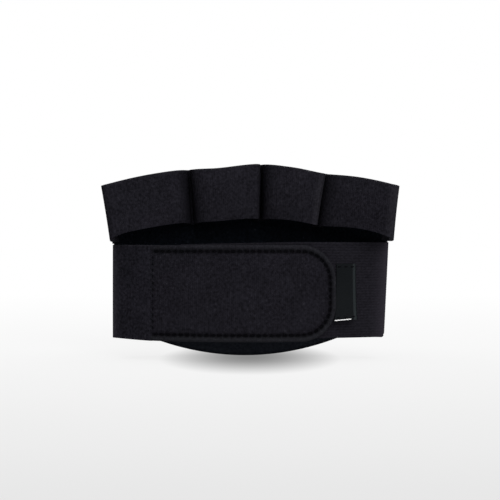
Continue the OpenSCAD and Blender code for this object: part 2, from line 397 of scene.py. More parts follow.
def pad_layer(name, hand_off, thick, bevel, drawn_in, inset=0.0):
    rings = [(share, EDGE_INSETS[0], 0) for share in MIDDLE_SHARES]
    rings += [(1, gap, 0) for gap in EDGE_INSETS if gap > bevel]
    rings += [(1, gap, depth) for gap, depth in edge_profile(thick, bevel)]
    rings += [(1, gap, thick) for gap in reversed(EDGE_INSETS) if gap > bevel]
    rings += [(share, EDGE_INSETS[0], thick) for share in reversed(MIDDLE_SHARES)]
    points = []
    flat = []
    for share, gap, depth in rings:
        for i, reach in enumerate(pad_reach):
            turn = 2 * math.pi * i / RAYS
            r = (reach - inset - gap) * share
            x = r * math.cos(turn)
            z = PAD_MIDDLE_Z + r * math.sin(turn)
            off = hand_off + depth - (drawn_in(x, z) if depth > thick / 2 else 0)
            along = palm_along(x, off)
            points.append(on_palm(along, off, z))
            flat.append((along, z))
    faces = []
    for k in range(len(rings) - 1):
        for i in range(RAYS):
            j = (i + 1) % RAYS
            faces.append((k * RAYS + i, k * RAYS + j, (k + 1) * RAYS + j, (k + 1) * RAYS + i))
    for off, first in ((hand_off, 0), (hand_off + thick, (len(rings) - 1) * RAYS)):
        points.append(on_palm(0, off, PAD_MIDDLE_Z))
        flat.append((0, PAD_MIDDLE_Z))
        faces += [(first + i, first + (i + 1) % RAYS, len(points) - 1) for i in range(RAYS)]
    piece = sewn_mesh(name, points, faces, flat)
    face_outwards(piece)
    soften(piece)
    return piece


foam_off = LINING_T + SEAT_GAP
face_off = foam_off + FOAM_T + SEAT_GAP
palm_lining = pad_layer("lining_layer", 0, LINING_T, bevel=0.3, drawn_in=not_pulled)
palm_foam = pad_layer("foam_layer", foam_off, FOAM_T, bevel=0.9, drawn_in=not_pulled, inset=0.25)
palm_face = pad_layer("grip_skin_layer", face_off, FACE_T, bevel=0.5, drawn_in=pulled)
for layer in (palm_lining, palm_foam, palm_face):
    print(layer.name, faces_of(layer), "faces")

# %% [markdown]
# The lip below the strap is lit, and the lining's inside lies in shade. A texture could be painted for that,
# but a share from 0 to 1 that each point keeps is enough, and a finish can read it later. The lining gets one
# for its lip, which paints it paler as painted light.
# %% Painted light on the lining's lip
LIP_Z = 10
LIP_FADE = 6
LIP_SHADE = 0.15
LIP_EDGE = 1.4


def painted_lip_light(place):
    """Painted light: the lining is paler on the lip below the strap, which is lit while its inside is in
    shade, up to its turned edge.
    """
    pale = min(max(1 - (place.z / MM - LIP_Z) / LIP_FADE, 0), 1)
    gap = place.z / MM - LIP_R + math.sqrt(LIP_R ** 2 - (place.x / MM - LIP_X) ** 2)
    return pale * mix(LIP_SHADE, 1, min(max(gap / LIP_EDGE, 0), 1))


keep_share(palm_lining, "lip", painted_lip_light)
print(f"the lining is pale below a height of {LIP_Z} mm")

# %% [markdown]
# ## Repeated small shapes
# Grip dots, stitches, hooks and pile loops each repeat hundreds of times. An array modifier can't follow
# these curved rows, so one shape is modelled with few faces, and copies of it are set at
# listed places and joined into one piece.
# %% Copying one shape to many places
def set_at(place, ahead, out):
    """The matrix of a copy at a place, with its X ahead along a row and its Z out of the cloth."""
    out = Vector(out).normalized()
    ahead = Vector(ahead)
    ahead = (ahead - out * ahead.dot(out)).normalized()
    side = out.cross(ahead)
    turn = Matrix((ahead, side, out)).transposed().to_4x4()
    return Matrix.Translation(Vector(place) * MM) @ turn


def repeat(model, name, places):
    """Copies a modelled shape to each place and joins the copies. The model itself is removed."""
    copies = []
    for place in places:
        copy = model.copy()
        copy.data = model.data.copy()
        copy.data.transform(place)
        bpy.context.scene.collection.objects.link(copy)
        copies.append(copy)
    bpy.data.objects.remove(model)
    pick(copies[0])
    for copy in copies:
        copy.select_set(True)
    bpy.ops.object.join()
    joined = bpy.context.object
    joined.name = name
    joined.data.name = name
    return joined


print("copies turn with the cloth: X ahead along their row, Z out of it")

# %% [markdown]
# ## Dots on the grip skin
# The palm side isn't in the photo. Such grips have a rubber skin with small raised dots there, so
# that is what it gets. One dot is a low cylinder whose upper rim is bevelled, and the dots lie in
# offset rows, clear of the edge and of the seams.
# %% Grip dots
DOT_R = 0.95
DOT_H = 0.7
DOT_SUNK = 0.3
DOT_STEP = 3.3
DOT_EDGE = 4.5
DOT_SEAM = 2.6
DOT_BEVEL = 0.38
DOT_COLUMNS = 20
UPWARDS = 0.9


def model_dot():
    deselect_all()
    bpy.ops.mesh.primitive_cylinder_add(vertices=10, radius=DOT_R * MM, depth=DOT_H * MM)
    dot = bpy.context.object
    bpy.ops.object.mode_set(mode="EDIT")
    bpy.ops.mesh.select_all(action="DESELECT")
    bpy.ops.object.mode_set(mode="OBJECT")
    for face in dot.data.polygons:
        face.select = face.normal.z > UPWARDS
    bpy.ops.object.mode_set(mode="EDIT")
    bpy.ops.mesh.bevel(offset=DOT_BEVEL * MM, segments=2, affect="EDGES")
    bpy.ops.object.mode_set(mode="OBJECT")
    return dot


def palm_frame(x, z):
    """Place and outward direction on the grip skin, at a point of the front view."""
    off = PAD_T - pulled(x, z)
    place = on_palm(palm_along(x, off), off, z)
    return place, (place[0], place[1] - PALM_Y, 0)


dot_places = []
row_step = DOT_STEP * math.sqrt(3) / 2
for row in range(int(GRIP_H / row_step) + 1):
    for column in range(-DOT_COLUMNS, DOT_COLUMNS + 1):
        x = (column + 0.5 * (row % 2)) * DOT_STEP
        z = row * row_step
        if abs(x) < TOP_X and pad_edge_gap(x, z) > DOT_EDGE and nearest_row(x, z) > DOT_SEAM:
            place, out = palm_frame(x, z)
            lift = Matrix.Translation((0, 0, (DOT_H / 2 - DOT_SUNK) * MM))
            dot_places.append(set_at(place, (0, 0, 1), out) @ lift)
grip_dots = repeat(model_dot(), "grip_dots", dot_places)
soften(grip_dots, angle=60)
print(len(dot_places), "grip dots,", faces_of(grip_dots), "faces")

# %% [markdown]
# ## The finger strip
# One strip of knit-faced foam is sewn down at five feet, and stands off the lining between them as
# four loops. A row of bent tubes would show joints that the real strip lacks, so the strip is one
# cloth. Its line in plan is worked out first, as a distance along the lining and a rise off it. Each loop
# has two shoulders and a level part between them. Some shoulders are steep and some are ramps, as the
# strip has taken the form of fingers.
# %% Shoulders of the finger loops
FINGER_T = 1.8
FINGER_RISE = 12
FINGER_CROWN = 1
OUTER_W = 6
SHOULDER_STEPS = 24
LEVEL_STEPS = 12
outer_r = LINING_R - FINGER_RISE
outer_lean = LINING_R * math.asin((TOP_W + OUTER_W) / 2 / outer_r) - SEAMS[4]
# A shoulder has a width, a lean over its foot, and a roundness: 1 is an ellipse, less is squarer and more
# is a ramp
OUTER = (OUTER_W, outer_lean, 1)
STEEP = (6, -2.4, 1)
NEXT = (12, 6, 1.3)
SOFT = (9, 0, 1)
WIDE = (21, 12.5, 1.5)
UPRIGHT = (2.2, 1.8, 0.6)
CRISP = (2.2, 3.3, 0.6)
LOOPS = [(OUTER, STEEP), (NEXT, UPRIGHT), (SOFT, CRISP), (WIDE, OUTER)]
# How wide the painted highlight runs beside a crisp side, where the edge catches light
EDGE_HIGHLIGHT = {UPRIGHT: 0.6, CRISP: 1.8}


def shoulder(foot, form, way):
    """One side of a loop, from its foot up. Its way is 1 where the loop lies to the right of the foot."""
    width, lean, roundness = form
    line = []
    for i in range(SHOULDER_STEPS + 1):
        t = math.pi / 2 * i / SHOULDER_STEPS
        across = 1 - max(math.cos(t), 0) ** roundness
        up = math.sin(t) ** roundness
        line.append((foot + way * (width * across - lean * up), FINGER_RISE * up))
    return line


def loop_line(start, end, forms):
    rising = shoulder(start + FOOT_W / 2, forms[0], 1)
    falling = shoulder(end - FOOT_W / 2, forms[1], -1)
    level = []
    for i in range(1, LEVEL_STEPS):
        share = i / LEVEL_STEPS
        level.append((mix(rising[-1][0], falling[-1][0], share), FINGER_RISE + FINGER_CROWN * hump(share)))
    return rising + level + falling[::-1]


print(f"{len(LOOPS)} loops stand {FINGER_RISE} mm off the lining")

# %% [markdown]
# The loops are now strung into one line. The flat cut is later laid along it by its length, so that the
# cloth is hardly stretched. The places of the crisp sides on that line are kept, for their painted
# highlights.
# %% Line of the finger strip
# The painted highlight lies this many points before the outermost point of a crisp side
EDGE_BEFORE = 2
finger_line = [(SEAMS[0], 0)]
crisp_edges = []
for i, forms in enumerate(LOOPS):
    loop = loop_line(SEAMS[i], SEAMS[i + 1], forms)
    if forms[1] in EDGE_HIGHLIGHT:
        outermost = len(finger_line) + loop.index(max(loop))
        crisp_edges.append((outermost - EDGE_BEFORE, EDGE_HIGHLIGHT[forms[1]]))
    finger_line += loop
finger_line.append((SEAMS[4], 0))


def line_lengths(line):
    """Distance of each point of a line from its start."""
    lengths = [0]
    for a, b in zip(line, line[1:]):
        lengths.append(lengths[-1] + math.dist(a, b))
    return lengths


def point_along(line, lengths, distance):
    """The point of a line at a distance from its start."""
    for k in range(1, len(line)):
        if distance <= lengths[k] or k == len(line) - 1:
            share = (distance - lengths[k - 1]) / (lengths[k] - lengths[k - 1])
            return [mix(a, b, share) for a, b in zip(line[k - 1], line[k])]


finger_lengths = line_lengths(finger_line)
FINGER_L = finger_lengths[-1]
FINGER_W = GRIP_H - ARCH_LOW_Z
print(f"finger strip: {FINGER_L:.0f} mm long before it is sewn down, {FINGER_W:.1f} mm wide in the middle")

# %% [markdown]
# The strip's two edges are arches, so a point's height is a share between them. Cloth that is sewn
# down never keeps a perfect line: the strip spreads a little where a seam presses it flat, its loops swell
# and lean over one another, and its lower corners hang down. Most of these are small moves that fade out
# with the distance from one place, so that they add up smoothly.
# %% Fall of the finger strip
SEAM_SPREAD = 0.7
LOOP_SWELL = 0.5
# Where the strip sags or stands up on the hand: the place across it, the height at its upper and at its
# lower edge, and the width
SAGS = [(-13, -0.8, -0.8, 9), (5, 0.6, -0.1, 8), (29, -1.1, -1.1, 10), (42, -0.25, 0.45, 12)]


def added_up(moves, where, share):
    """The sum of small moves at a place: share 0 is the strip's lower edge and 1 its upper edge."""
    total = 0
    for place, top, bottom, width in moves:
        total += mix(bottom, top, share) * math.exp(-(((where - place) / width) ** 2))
    return total


# How far the lower corners hang down, at the left and at the right end, and where the drop starts and ends
END_DROP = (2.2, 1.3)
END_FROM = 47
END_TO = 57
CORNER_DROP = 0.8
# Where loops lean over: the place along the lining, the lean at the top and at the bottom, the width
LEANS = [(SEAMS[1] + 1, -3.2, -0.9, 5), (SEAMS[2] + 4, 0, -1.4, 4), (SEAMS[3] + 2, 2.8, 0, 7)]
LEANS += [(SEAMS[0], -0.4, 1.2, 10), (SEAMS[4], 0.8, 1.7, 10)]


def end_drop(x, stand):
    """The strip's lower corners hang down where its ends go round to the side seams."""
    share = min(max((abs(x) - END_FROM) / (END_TO - END_FROM), 0), 1)
    return END_DROP[x > 0] * share * share + CORNER_DROP * (1 - min(stand, 1)) * (share > 0)


def finger_place(x, y):
    share = y / FINGER_W + 0.5
    along, rise = point_along(finger_line, finger_lengths, x + FINGER_L / 2)
    stand = rise / FINGER_RISE
    rise += LOOP_SWELL * hump(share) * stand
    along += added_up(LEANS, along, share) * min(stand, 1)
    px, py, _ = on_palm(along * fan_at(share), -SEAT_GAP - FINGER_T / 2 - rise, 0)
    z = mix(finger_low_z(px) - end_drop(px, stand), finger_top_z(px), share)
    return (px, py, z + added_up(SAGS, px, share) + SEAM_SPREAD * (1 - min(stand, 1)) * (share - 0.5) * 2)


print(f"the strip sags or stands up in {len(SAGS)} places and leans in {len(LEANS)}")

# %% [markdown]
# The strip is cut flat, gets a share for the painted highlights on its edges while it is still flat, and is
# then laid in place and thickened.
# %% Finger strip
# Painted highlights where the strip catches light: beside crisp sides, along its upper edge and round its
# right end
SIDE_HIGHLIGHT = 0.7
TOP_HIGHLIGHT = 0.5
TOP_HIGHLIGHT_W = 0.5
TURN_HIGHLIGHT = 0.6
END_HIGHLIGHT_W = 2.5
highlight_at = [(finger_lengths[k] - FINGER_L / 2, width) for k, width in crisp_edges]
right_turn = finger_lengths[finger_line.index(max(finger_line))] - FINGER_L / 2


def painted_edge_highlight(place):
    """Painted highlight where the strip catches light: at its crisp sides, along its upper edge and round its
    right end.
    """
    wear = [SIDE_HIGHLIGHT * math.exp(-(((place.x - edge) / width) ** 2)) for edge, width in highlight_at]
    wear.append(TOP_HIGHLIGHT * math.exp(-(((FINGER_W / 2 - place.y) / TOP_HIGHLIGHT_W) ** 2)))
    wear.append(TURN_HIGHLIGHT * math.exp(-(((place.x - right_turn) / END_HIGHLIGHT_W) ** 2)))
    return max(wear)


finger_band = cut_cloth("finger_strip", (FINGER_L, FINGER_W), steps=(320, 22))
keep_share(finger_band, "painted_highlight", painted_edge_highlight)
lay(finger_band, finger_place)
thicken(finger_band, FINGER_T, edge=0.55)
print(finger_band.name, faces_of(finger_band), "faces")

# %% [markdown]
# ## The strap's left band
# The left band is a short piece of the same knit-faced foam. It leaves the pad at the left side seam
# and ends at the tab's stitches. Its sewn end lies against the lining, so points that would
# go through the lining are pressed back onto it, as the seam does.
# %% Left band
LEFT_T = 2
TAB_ROOT_X = 39.2
BAND_H = BAND_TOP - BAND_Z
BAND_MID_Z = (BAND_Z + BAND_TOP) / 2
SEAM_GAP = 0.15
LEFT_OUT = 0.4
LEFT_END_X = -PALM_W / 2 - LEFT_OUT


def press_on_lining(piece, gap):
    """Presses back what would go through the lining."""
    limit = (LINING_R - gap) * MM
    middle = Vector((0, PALM_Y * MM))
    for v in piece.data.vertices:
        way = v.co.xy - middle
        if way.length > limit:
            v.co.xy = middle + way.normalized() * limit
    piece.data.update()


tab_low, tab_high = node_box("closure_tab")
# The soft tab is a little taller than its solid, and lies a little lower
TAB_TALLER = 0.1
TAB_LOWER = 0.4
TAB_H = tab_high[2] - tab_low[2] + TAB_TALLER
TAB_MID_Z = BAND_MID_Z - TAB_LOWER
SEAM_OVERLAP = 0.45
UNDER_TAB = 0.5
UNDER_POWER = 40
LEFT_SPREAD = 0.4
LEFT_SWELL = 0.25
left_start = strap_along(LEFT_END_X)
left_end = strap_along(-TAB_ROOT_X) + SEAM_OVERLAP
LEFT_L = left_end - left_start


def left_place(x, y):
    """The band swells a little between its edges, widens to the tab's height and goes under the tab."""
    share = x / LEFT_L + 0.5
    swell = LEFT_SWELL * hump(y / BAND_H + 0.5) * hump(share) - UNDER_TAB * share ** UNDER_POWER
    flare = mix(1 + LEFT_SPREAD / BAND_H, TAB_H / BAND_H, share)
    z = y * flare + mix(BAND_MID_Z, TAB_MID_Z, share)
    return on_strap(mix(left_start, left_end, share), swell - LEFT_T / 2, z)


def painted_end_highlight(place):
    """Painted highlight at the band's sewn end, where it catches light, and a little along its upper edge."""
    sewn = math.exp(-(((place.x + LEFT_L / 2) / END_HIGHLIGHT_W) ** 2))
    upper = math.exp(-(((place.y - BAND_H / 2) / TOP_HIGHLIGHT_W) ** 2))
    return max(sewn, TOP_HIGHLIGHT * upper)


left_band = cut_cloth("left_strap_band", (LEFT_L, BAND_H), steps=(48, 44))
keep_share(left_band, "painted_highlight", painted_end_highlight)
lay(left_band, left_place)
thicken(left_band, LEFT_T, edge=0.6)
press_on_lining(left_band, SEAM_GAP)
print(left_band.name, faces_of(left_band), "faces")

# %% [markdown]
# ## The closure tab
# The tab is thicker, has a round free end, and is quilted by a row of stitches near its edge. The rim
# outside that row puffs up, and each stitch pulls a dimple. A rounded rectangle could be inset again and
# again in edit mode, but every inset needs another height, so the tab is built from rings, each the
# outline drawn in a little more. The last rings close onto a line along its middle.
# %% Outline of the closure tab
TAB_T = 2.4
TAB_CORNER_R = 14
TAB_STITCH_INSET = 2.5
TAB_ROOT_SHARE = 0.3
ROOT_ROW = 0.6
TIP_LONGER = 0.6
TAB_TIP_X = tab_high[0] + TIP_LONGER
TAB_HALF_H = TAB_H / 2
LEVEL_POINTS = 180
ROUND_POINTS = 60
TIP_POINTS = 24
UPRIGHT_POINTS = 90


def straight(a, b, count):
    return [(mix(a[0], b[0], i / count), mix(a[1], b[1], i / count)) for i in range(count)]


def quarter(centre, r, start, count):
    turns = [start + math.pi / 2 * i / count for i in range(count)]
    return [(centre[0] + r * math.cos(t), centre[1] + r * math.sin(t)) for t in turns]


def tab_ring(inset):
    """The tab's outline from the front, drawn in. The sewn end is drawn in less."""
    r = TAB_CORNER_R - inset
    x0 = -TAB_ROOT_X + inset * TAB_ROOT_SHARE
    x1 = TAB_TIP_X - inset
    z0 = TAB_MID_Z - TAB_HALF_H + inset
    z1 = TAB_MID_Z + TAB_HALF_H - inset
    ring = straight((x0, z0), (x1 - r, z0), LEVEL_POINTS)
    ring += quarter((x1 - r, z0 + r), r, -math.pi / 2, ROUND_POINTS)
    ring += straight((x1, z0 + r), (x1, z1 - r), TIP_POINTS)
    ring += quarter((x1 - r, z1 - r), r, 0, ROUND_POINTS)
    ring += straight((x1 - r, z1), (x0, z1), LEVEL_POINTS)
    ring += straight((x0, z1), (x0, z0), UPRIGHT_POINTS)
    return ring


def to_spine(ring, share):
    """A ring drawn towards the line along the tab's middle."""
    x0 = -TAB_ROOT_X + TAB_HALF_H / 2
    x1 = TAB_TIP_X - TAB_HALF_H
    return [(mix(x, min(max(x, x0), x1), share), mix(z, TAB_MID_Z, share)) for x, z in ring]


def tab_edge_gap(x, z):
    """How far a point of the front view lies inside the tab's free edge."""
    past_x = x - (TAB_TIP_X - TAB_CORNER_R)
    past_z = abs(z - TAB_MID_Z) - (TAB_HALF_H - TAB_CORNER_R)
    if past_x > 0 and past_z > 0:
        return TAB_CORNER_R - math.hypot(past_x, past_z)
    return TAB_CORNER_R - max(past_x, past_z)


print(f"the tab is {TAB_H:.1f} mm high and ends at x {TAB_TIP_X:.1f} mm")

# %% [markdown]
# The stitches come before the tab's surface, because they pull at it. One row follows the free edge and one
# the sewn end. Each stitch is kept as its middle and its heading.
# %% Stitch rows of the tab
def even_steps(line, ends):
    """Stitches along a line: middle and heading of each. They fill the line or stay off its ends."""
    lengths = line_lengths(line)
    count = int(lengths[-1] / STITCH_STEP)
    shares = [(i + 0.5) / count for i in range(count)] if ends else [i / count for i in range(1, count)]
    steps = []
    for share in shares:
        x0, z0 = point_along(line, lengths, share * lengths[-1] - STITCH_L / 2)
        x1, z1 = point_along(line, lengths, share * lengths[-1] + STITCH_L / 2)
        steps.append(((x0 + x1) / 2, (z0 + z1) / 2, math.atan2(z1 - z0, x1 - x0)))
    return steps


stitch_ring = tab_ring(TAB_STITCH_INSET)
root_row_x = -TAB_ROOT_X + ROOT_ROW
free_row = [(max(x, root_row_x), z) for x, z in stitch_ring[:-UPRIGHT_POINTS]]
root_row = [(root_row_x, free_row[0][1]), (root_row_x, free_row[-1][1])]
free_steps = even_steps(free_row, True)
root_steps = even_steps(root_row, False)
print(len(free_steps) + len(root_steps), "stitches quilt the tab")

# %% [markdown]
# The tab's face isn't flat. The rim is rounded and puffed, a shallow channel follows the stitches, and each
# stitch pulls a deeper dimple, which is what shows as a dotted line from a distance. A bump would only shade
# these, so they are heights of the mesh.
# %% Relief of the tab
RIM_R = 1.15
RIM_PUFF = 0.35
CHANNEL_DEPTH = 0.4
DIMPLE_DEPTH = 0.7
CHANNEL_W = 1
PUFF_START = 4
ROOT_CHANNEL = 0.25
ROOT_STITCH = 0.55
# Half the length and half the width of a stitch's dimple, along the free edge and at the sewn end
FREE_DIMPLE = (0.95, 0.6)
ROOT_DIMPLE = (0.6, 0.75)
tab_dimples = [(step, FREE_DIMPLE) for step in free_steps] + [(step, ROOT_DIMPLE) for step in root_steps]


def dimple(x, z):
    """How strongly the nearest stitch pulls at a point, from 0 to 1."""
    pull = 0
    for (sx, sz, heading), (length, width) in tab_dimples:
        dx = x - sx
        dz = z - sz
        if abs(dx) < STITCH_STEP and abs(dz) < STITCH_STEP:
            ahead = dx * math.cos(heading) + dz * math.sin(heading)
            aside = dz * math.cos(heading) - dx * math.sin(heading)
            pull = max(pull, math.exp(-((ahead / length) ** 4) - (aside / width) ** 2))
    return pull


def in_channel(x, z):
    """1 in the middle of the channel that the stitches make, and 0 away from it."""
    free = math.exp(-(((tab_edge_gap(x, z) - TAB_STITCH_INSET) / CHANNEL_W) ** 2))
    sewn = math.exp(-(((x + TAB_ROOT_X - ROOT_ROW) / CHANNEL_W) ** 2))
    return max(free, ROOT_CHANNEL * sewn)


def tab_drop(x, z):
    """How far the tab's face lies below its full height."""
    gap = tab_edge_gap(x, z)
    rounding = RIM_R - math.sqrt(max(RIM_R ** 2 - max(RIM_R - gap, 0) ** 2, 0))
    channel = CHANNEL_DEPTH * in_channel(x, z)
    puff = RIM_PUFF * hump(gap / TAB_STITCH_INSET) * min((x + TAB_ROOT_X) / PUFF_START, 1)
    return rounding + channel + DIMPLE_DEPTH * dimple(x, z) - puff


print(f"{len(tab_dimples)} dimples, {DIMPLE_DEPTH} mm deep in a channel of {CHANNEL_DEPTH} mm")

# %% [markdown]
# The rings are now set at their heights, on the front from the middle out and on the back to the middle
# again, and joined by faces. Doubled points on the middle line are merged.
# %% Closure tab
# Insets of the rings, closest together at the rim and at the stitches
TAB_INSETS = [0, 0.06, 0.2, 0.42, 0.72, 1.1, 1.5, 1.85, 2.15, 2.4, 2.65, 2.88, 3.12, 3.35, 3.6]
TAB_INSETS += [3.9, 4.3, 4.8, 5.5, 6.3]
SPINE_SHARES = [0.08, 0.16, 0.25, 0.34, 0.43, 0.52, 0.61, 0.7, 0.8, 0.9, 1]
LEAST_HALF = 0.05
QUILT_MERGE = 0.002
QUILT_ANGLE = 70


def quilted(name, rings, outer_off, thick, drop):
    """A quilted piece on the strap's arc: rings on its front from the middle out, then on its back."""
    count = len(rings[0])
    points = []
    flat = []
    for front in (True, False):
        for ring in reversed(rings) if front else rings:
            for x, z in ring:
                fall = drop(x, z)
                off = outer_off - fall if front else outer_off - thick + min(fall, thick / 2 - LEAST_HALF)
                points.append(on_strap(strap_along(x), off, z))
                flat.append((strap_along(x), z))
    faces = []
    for k in range(2 * len(rings) - 1):
        for i in range(count):
            j = (i + 1) % count
            faces.append((k * count + i, k * count + j, (k + 1) * count + j, (k + 1) * count + i))
    piece = sewn_mesh(name, points, faces, flat)
    face_outwards(piece, merge=QUILT_MERGE)
    soften(piece, QUILT_ANGLE)
    return piece


tab_rings = [tab_ring(inset) for inset in TAB_INSETS]
tab_rings += [to_spine(tab_rings[-1], share) for share in SPINE_SHARES]
closure_tab = quilted("strap_tab", tab_rings, 0, TAB_T, tab_drop)
print(closure_tab.name, faces_of(closure_tab), "faces")

# %% [markdown]
# The rim outside the stitches gets a painted highlight, most along its lower edge and at its round end, and
# the stitched groove between rim and middle gets painted shade. Both are shares again, worked out by the same
# functions that gave the tab its heights.
# %% Painted highlight on the rim and painted shade in the groove of the tab
RIM_LEAST = 0.5
RIM_MARGIN = 0.3
CHANNEL_SHARE = 0.55
DIMPLE_SHARE = 0.45


def painted_rim_highlight(place):
    """Painted highlight on the rim outside the stitches, most of all along its lower edge and at its round
    end.
    """
    low = 0.5 - (place.z / MM - TAB_MID_Z) / TAB_H
    tip = min(max(place.x / MM / TAB_TIP_X, 0), 1)
    outside = tab_edge_gap(place.x / MM, place.z / MM) < TAB_STITCH_INSET - RIM_MARGIN
    return mix(RIM_LEAST, 1, max(low, tip)) * outside


# Painted shade in the stitched channel and its dimples, where light falls less
def painted_groove_shade(place):
    x = place.x / MM
    z = place.z / MM
    return CHANNEL_SHARE * in_channel(x, z) + DIMPLE_SHARE * dimple(x, z)


keep_share(closure_tab, "rim", painted_rim_highlight)
keep_share(closure_tab, "groove", painted_groove_shade)
print("the tab keeps two shares, rim and groove")

# %% [markdown]
# ## The elastic right band
# The right band is ribbed elastic. It follows the closed tab underneath, then runs straight to the right
# side seam. An arc and the straight line that touches it give its line in plan.
# %% Line of the elastic
HOOK_T = 1
LOOP_T = 1.2
MOVE_GAP = 0.3
RIGHT_T = 1.6
RIGHT_REACH = 27
LOOP_R = STRAP_R - TAB_T - SEAT_GAP - HOOK_T - MOVE_GAP
RIGHT_R = LOOP_R - LOOP_T - SEAT_GAP
RIGHT_MID_R = RIGHT_R - RIGHT_T / 2
RIGHT_OUT = 0.5
right_end = Vector((PALM_W / 2 - RIGHT_T / 2 + RIGHT_OUT, EDGE_Y - STRAP_Y))
straight_turn = math.atan2(right_end.x, -right_end.y) - math.acos(RIGHT_MID_R / right_end.length)
free_turn = -math.asin(RIGHT_REACH / RIGHT_MID_R)
ARC_L = RIGHT_MID_R * (straight_turn - free_turn)
STRAIGHT_L = math.sqrt(right_end.length ** 2 - RIGHT_MID_R ** 2)
RIGHT_L = ARC_L + STRAIGHT_L + RIGHT_T / 2


def right_point(distance, off):
    """A point in plan on the right band: a distance from its free end, and off its middle line."""
    turn = min(free_turn + distance / RIGHT_MID_R, straight_turn)
    past = max(distance - ARC_L, 0)
    r = RIGHT_MID_R + off
    return (
        r * math.sin(turn) + past * math.cos(straight_turn),
        STRAP_Y - r * math.cos(turn) + past * math.sin(straight_turn),
    )


print(f"the elastic is {RIGHT_L:.1f} mm long, {STRAIGHT_L:.1f} mm of it straight")

# %% [markdown]
# The ribs are real waves in the cloth, about a millimetre apart, because a bump alone would leave the band's
# ends and edges smooth. The band's upper edge rises a little to the right, and its lower right corner is
# round.
# %% Elastic right band
RIB_STEP = 1.05
RIB_H = 0.08
RIGHT_CORNER_R = 2
RIGHT_RISE = 0.9
RIGHT_UP = 0.2
RISE_L = 45


def rounded_corner(to_end, to_edge):
    """Draws a point near the band's lower right corner in, onto a rounded corner."""
    dx = RIGHT_CORNER_R - to_end
    dz = RIGHT_CORNER_R - to_edge
    far = math.hypot(dx, dz)
    if dx <= 0 or dz <= 0 or far <= RIGHT_CORNER_R:
        return to_end, to_edge
    share = RIGHT_CORNER_R / far
    return RIGHT_CORNER_R - dx * share, RIGHT_CORNER_R - dz * share


def right_place(x, y):
    reach = RIGHT_L - right_slant(y + BAND_MID_Z)
    to_end, to_edge = rounded_corner((0.5 - x / RIGHT_L) * reach, y + BAND_H / 2)
    rib = RIB_H / 2 * math.cos(2 * math.pi * y / RIB_STEP)
    px, py = right_point(reach - to_end, rib)
    back = right_slant(y + BAND_MID_Z) * max(0, 1 - to_end / STRAIGHT_L) ** 2
    rise = RIGHT_RISE * min((reach - to_end) / RISE_L, 1)
    return (px, py + back, BAND_Z + RIGHT_UP + to_edge * (1 + rise / BAND_H))


right_band = cut_cloth("elastic_band", (RIGHT_L, BAND_H), steps=(64, 210))
lay(right_band, right_place)
thicken(right_band, RIGHT_T - RIB_H, edge=0.35)
press_on_lining(right_band, SEAM_GAP)
print(right_band.name, faces_of(right_band), "faces")

# %% [markdown]
# ## Hook patch and loop patch
# The tab closes with hook tape on loop tape. Both show when the tab is peeled off, so they get real
# hooks and pile loops. The hook tape's ground is a thin plate with the tab's outline, drawn in a little, so
# the tab's own rings make it.
# %% Ground of the hook patch
HOOK_BASE = 0.45
HOOK_INSET = 2
HOOK_INSETS = [0, 0.1, 0.3, 0.7, 1.4, 2.2, 3.2, 4.3]
HOOK_GAP = 0.15
HOOK_RIM = 0.2
HOOK_RIM_W = 0.15
hook_off = -TAB_T - HOOK_GAP


def hook_drop(x, z):
    """The cut edge of the tape is rounded."""
    return HOOK_RIM * math.exp(-max(tab_edge_gap(x, z) - HOOK_INSET, 0) / HOOK_RIM_W)


hook_rings = [tab_ring(HOOK_INSET + inset) for inset in HOOK_INSETS]
hook_rings += [to_spine(hook_rings[-1], share) for share in SPINE_SHARES]
hook_base = quilted("hook_tape", hook_rings, hook_off, HOOK_BASE, hook_drop)
print(hook_base.name, faces_of(hook_base), "faces")

# %% [markdown]
# One hook is a small square that is extruded upwards in four steps, and curled over and drawn thinner at
# each. A bent curve with a bevel would give many more faces, and there are several hundred hooks. Rows
# hook up and down by turns, as on real tape.
# %% Hooks
HOOK_W = 0.26
HOOK_CLIMB = 0.3
HOOK_TURNS = (0, 35, 50, 55)
HOOK_THINNER = 0.9
HOOK_SHORTER = 0.85
HOOK_STEP = 1.9
HOOK_ROW_SHARE = 0.86
HOOK_EDGE = 4.2
HOOK_SUNK = 0.05
HOOK_COLUMNS = range(-22, 20)
HOOK_ROWS = range(-10, 11)


def model_hook():
    deselect_all()
    bpy.ops.mesh.primitive_plane_add(size=HOOK_W * MM)
    hook = bpy.context.object
    bpy.ops.object.mode_set(mode="EDIT")
    bpy.ops.mesh.select_all(action="SELECT")
    climb = Vector((0, 0, HOOK_CLIMB * MM))
    place = Vector((0, 0, 0))
    for turn in HOOK_TURNS:
        climb.rotate(Matrix.Rotation(math.radians(turn), 3, "Y"))
        bpy.ops.mesh.extrude_region_move(TRANSFORM_OT_translate={"value": climb})
        place += climb
        if turn:
            bpy.ops.transform.rotate(value=-math.radians(turn), orient_axis="Y", center_override=place)
        bpy.ops.transform.resize(value=[HOOK_THINNER] * 3, center_override=place)
        climb *= HOOK_SHORTER
    bpy.ops.mesh.select_all(action="SELECT")
    bpy.ops.mesh.normals_make_consistent(inside=False)
    bpy.ops.object.mode_set(mode="OBJECT")
    return hook


def strap_inwards(x, off, z):
    """Place and inward direction on the strap's arc, at a point of the front view."""
    place = on_strap(strap_along(x), off, z)
    return place, (-place[0], STRAP_Y - place[1], 0)


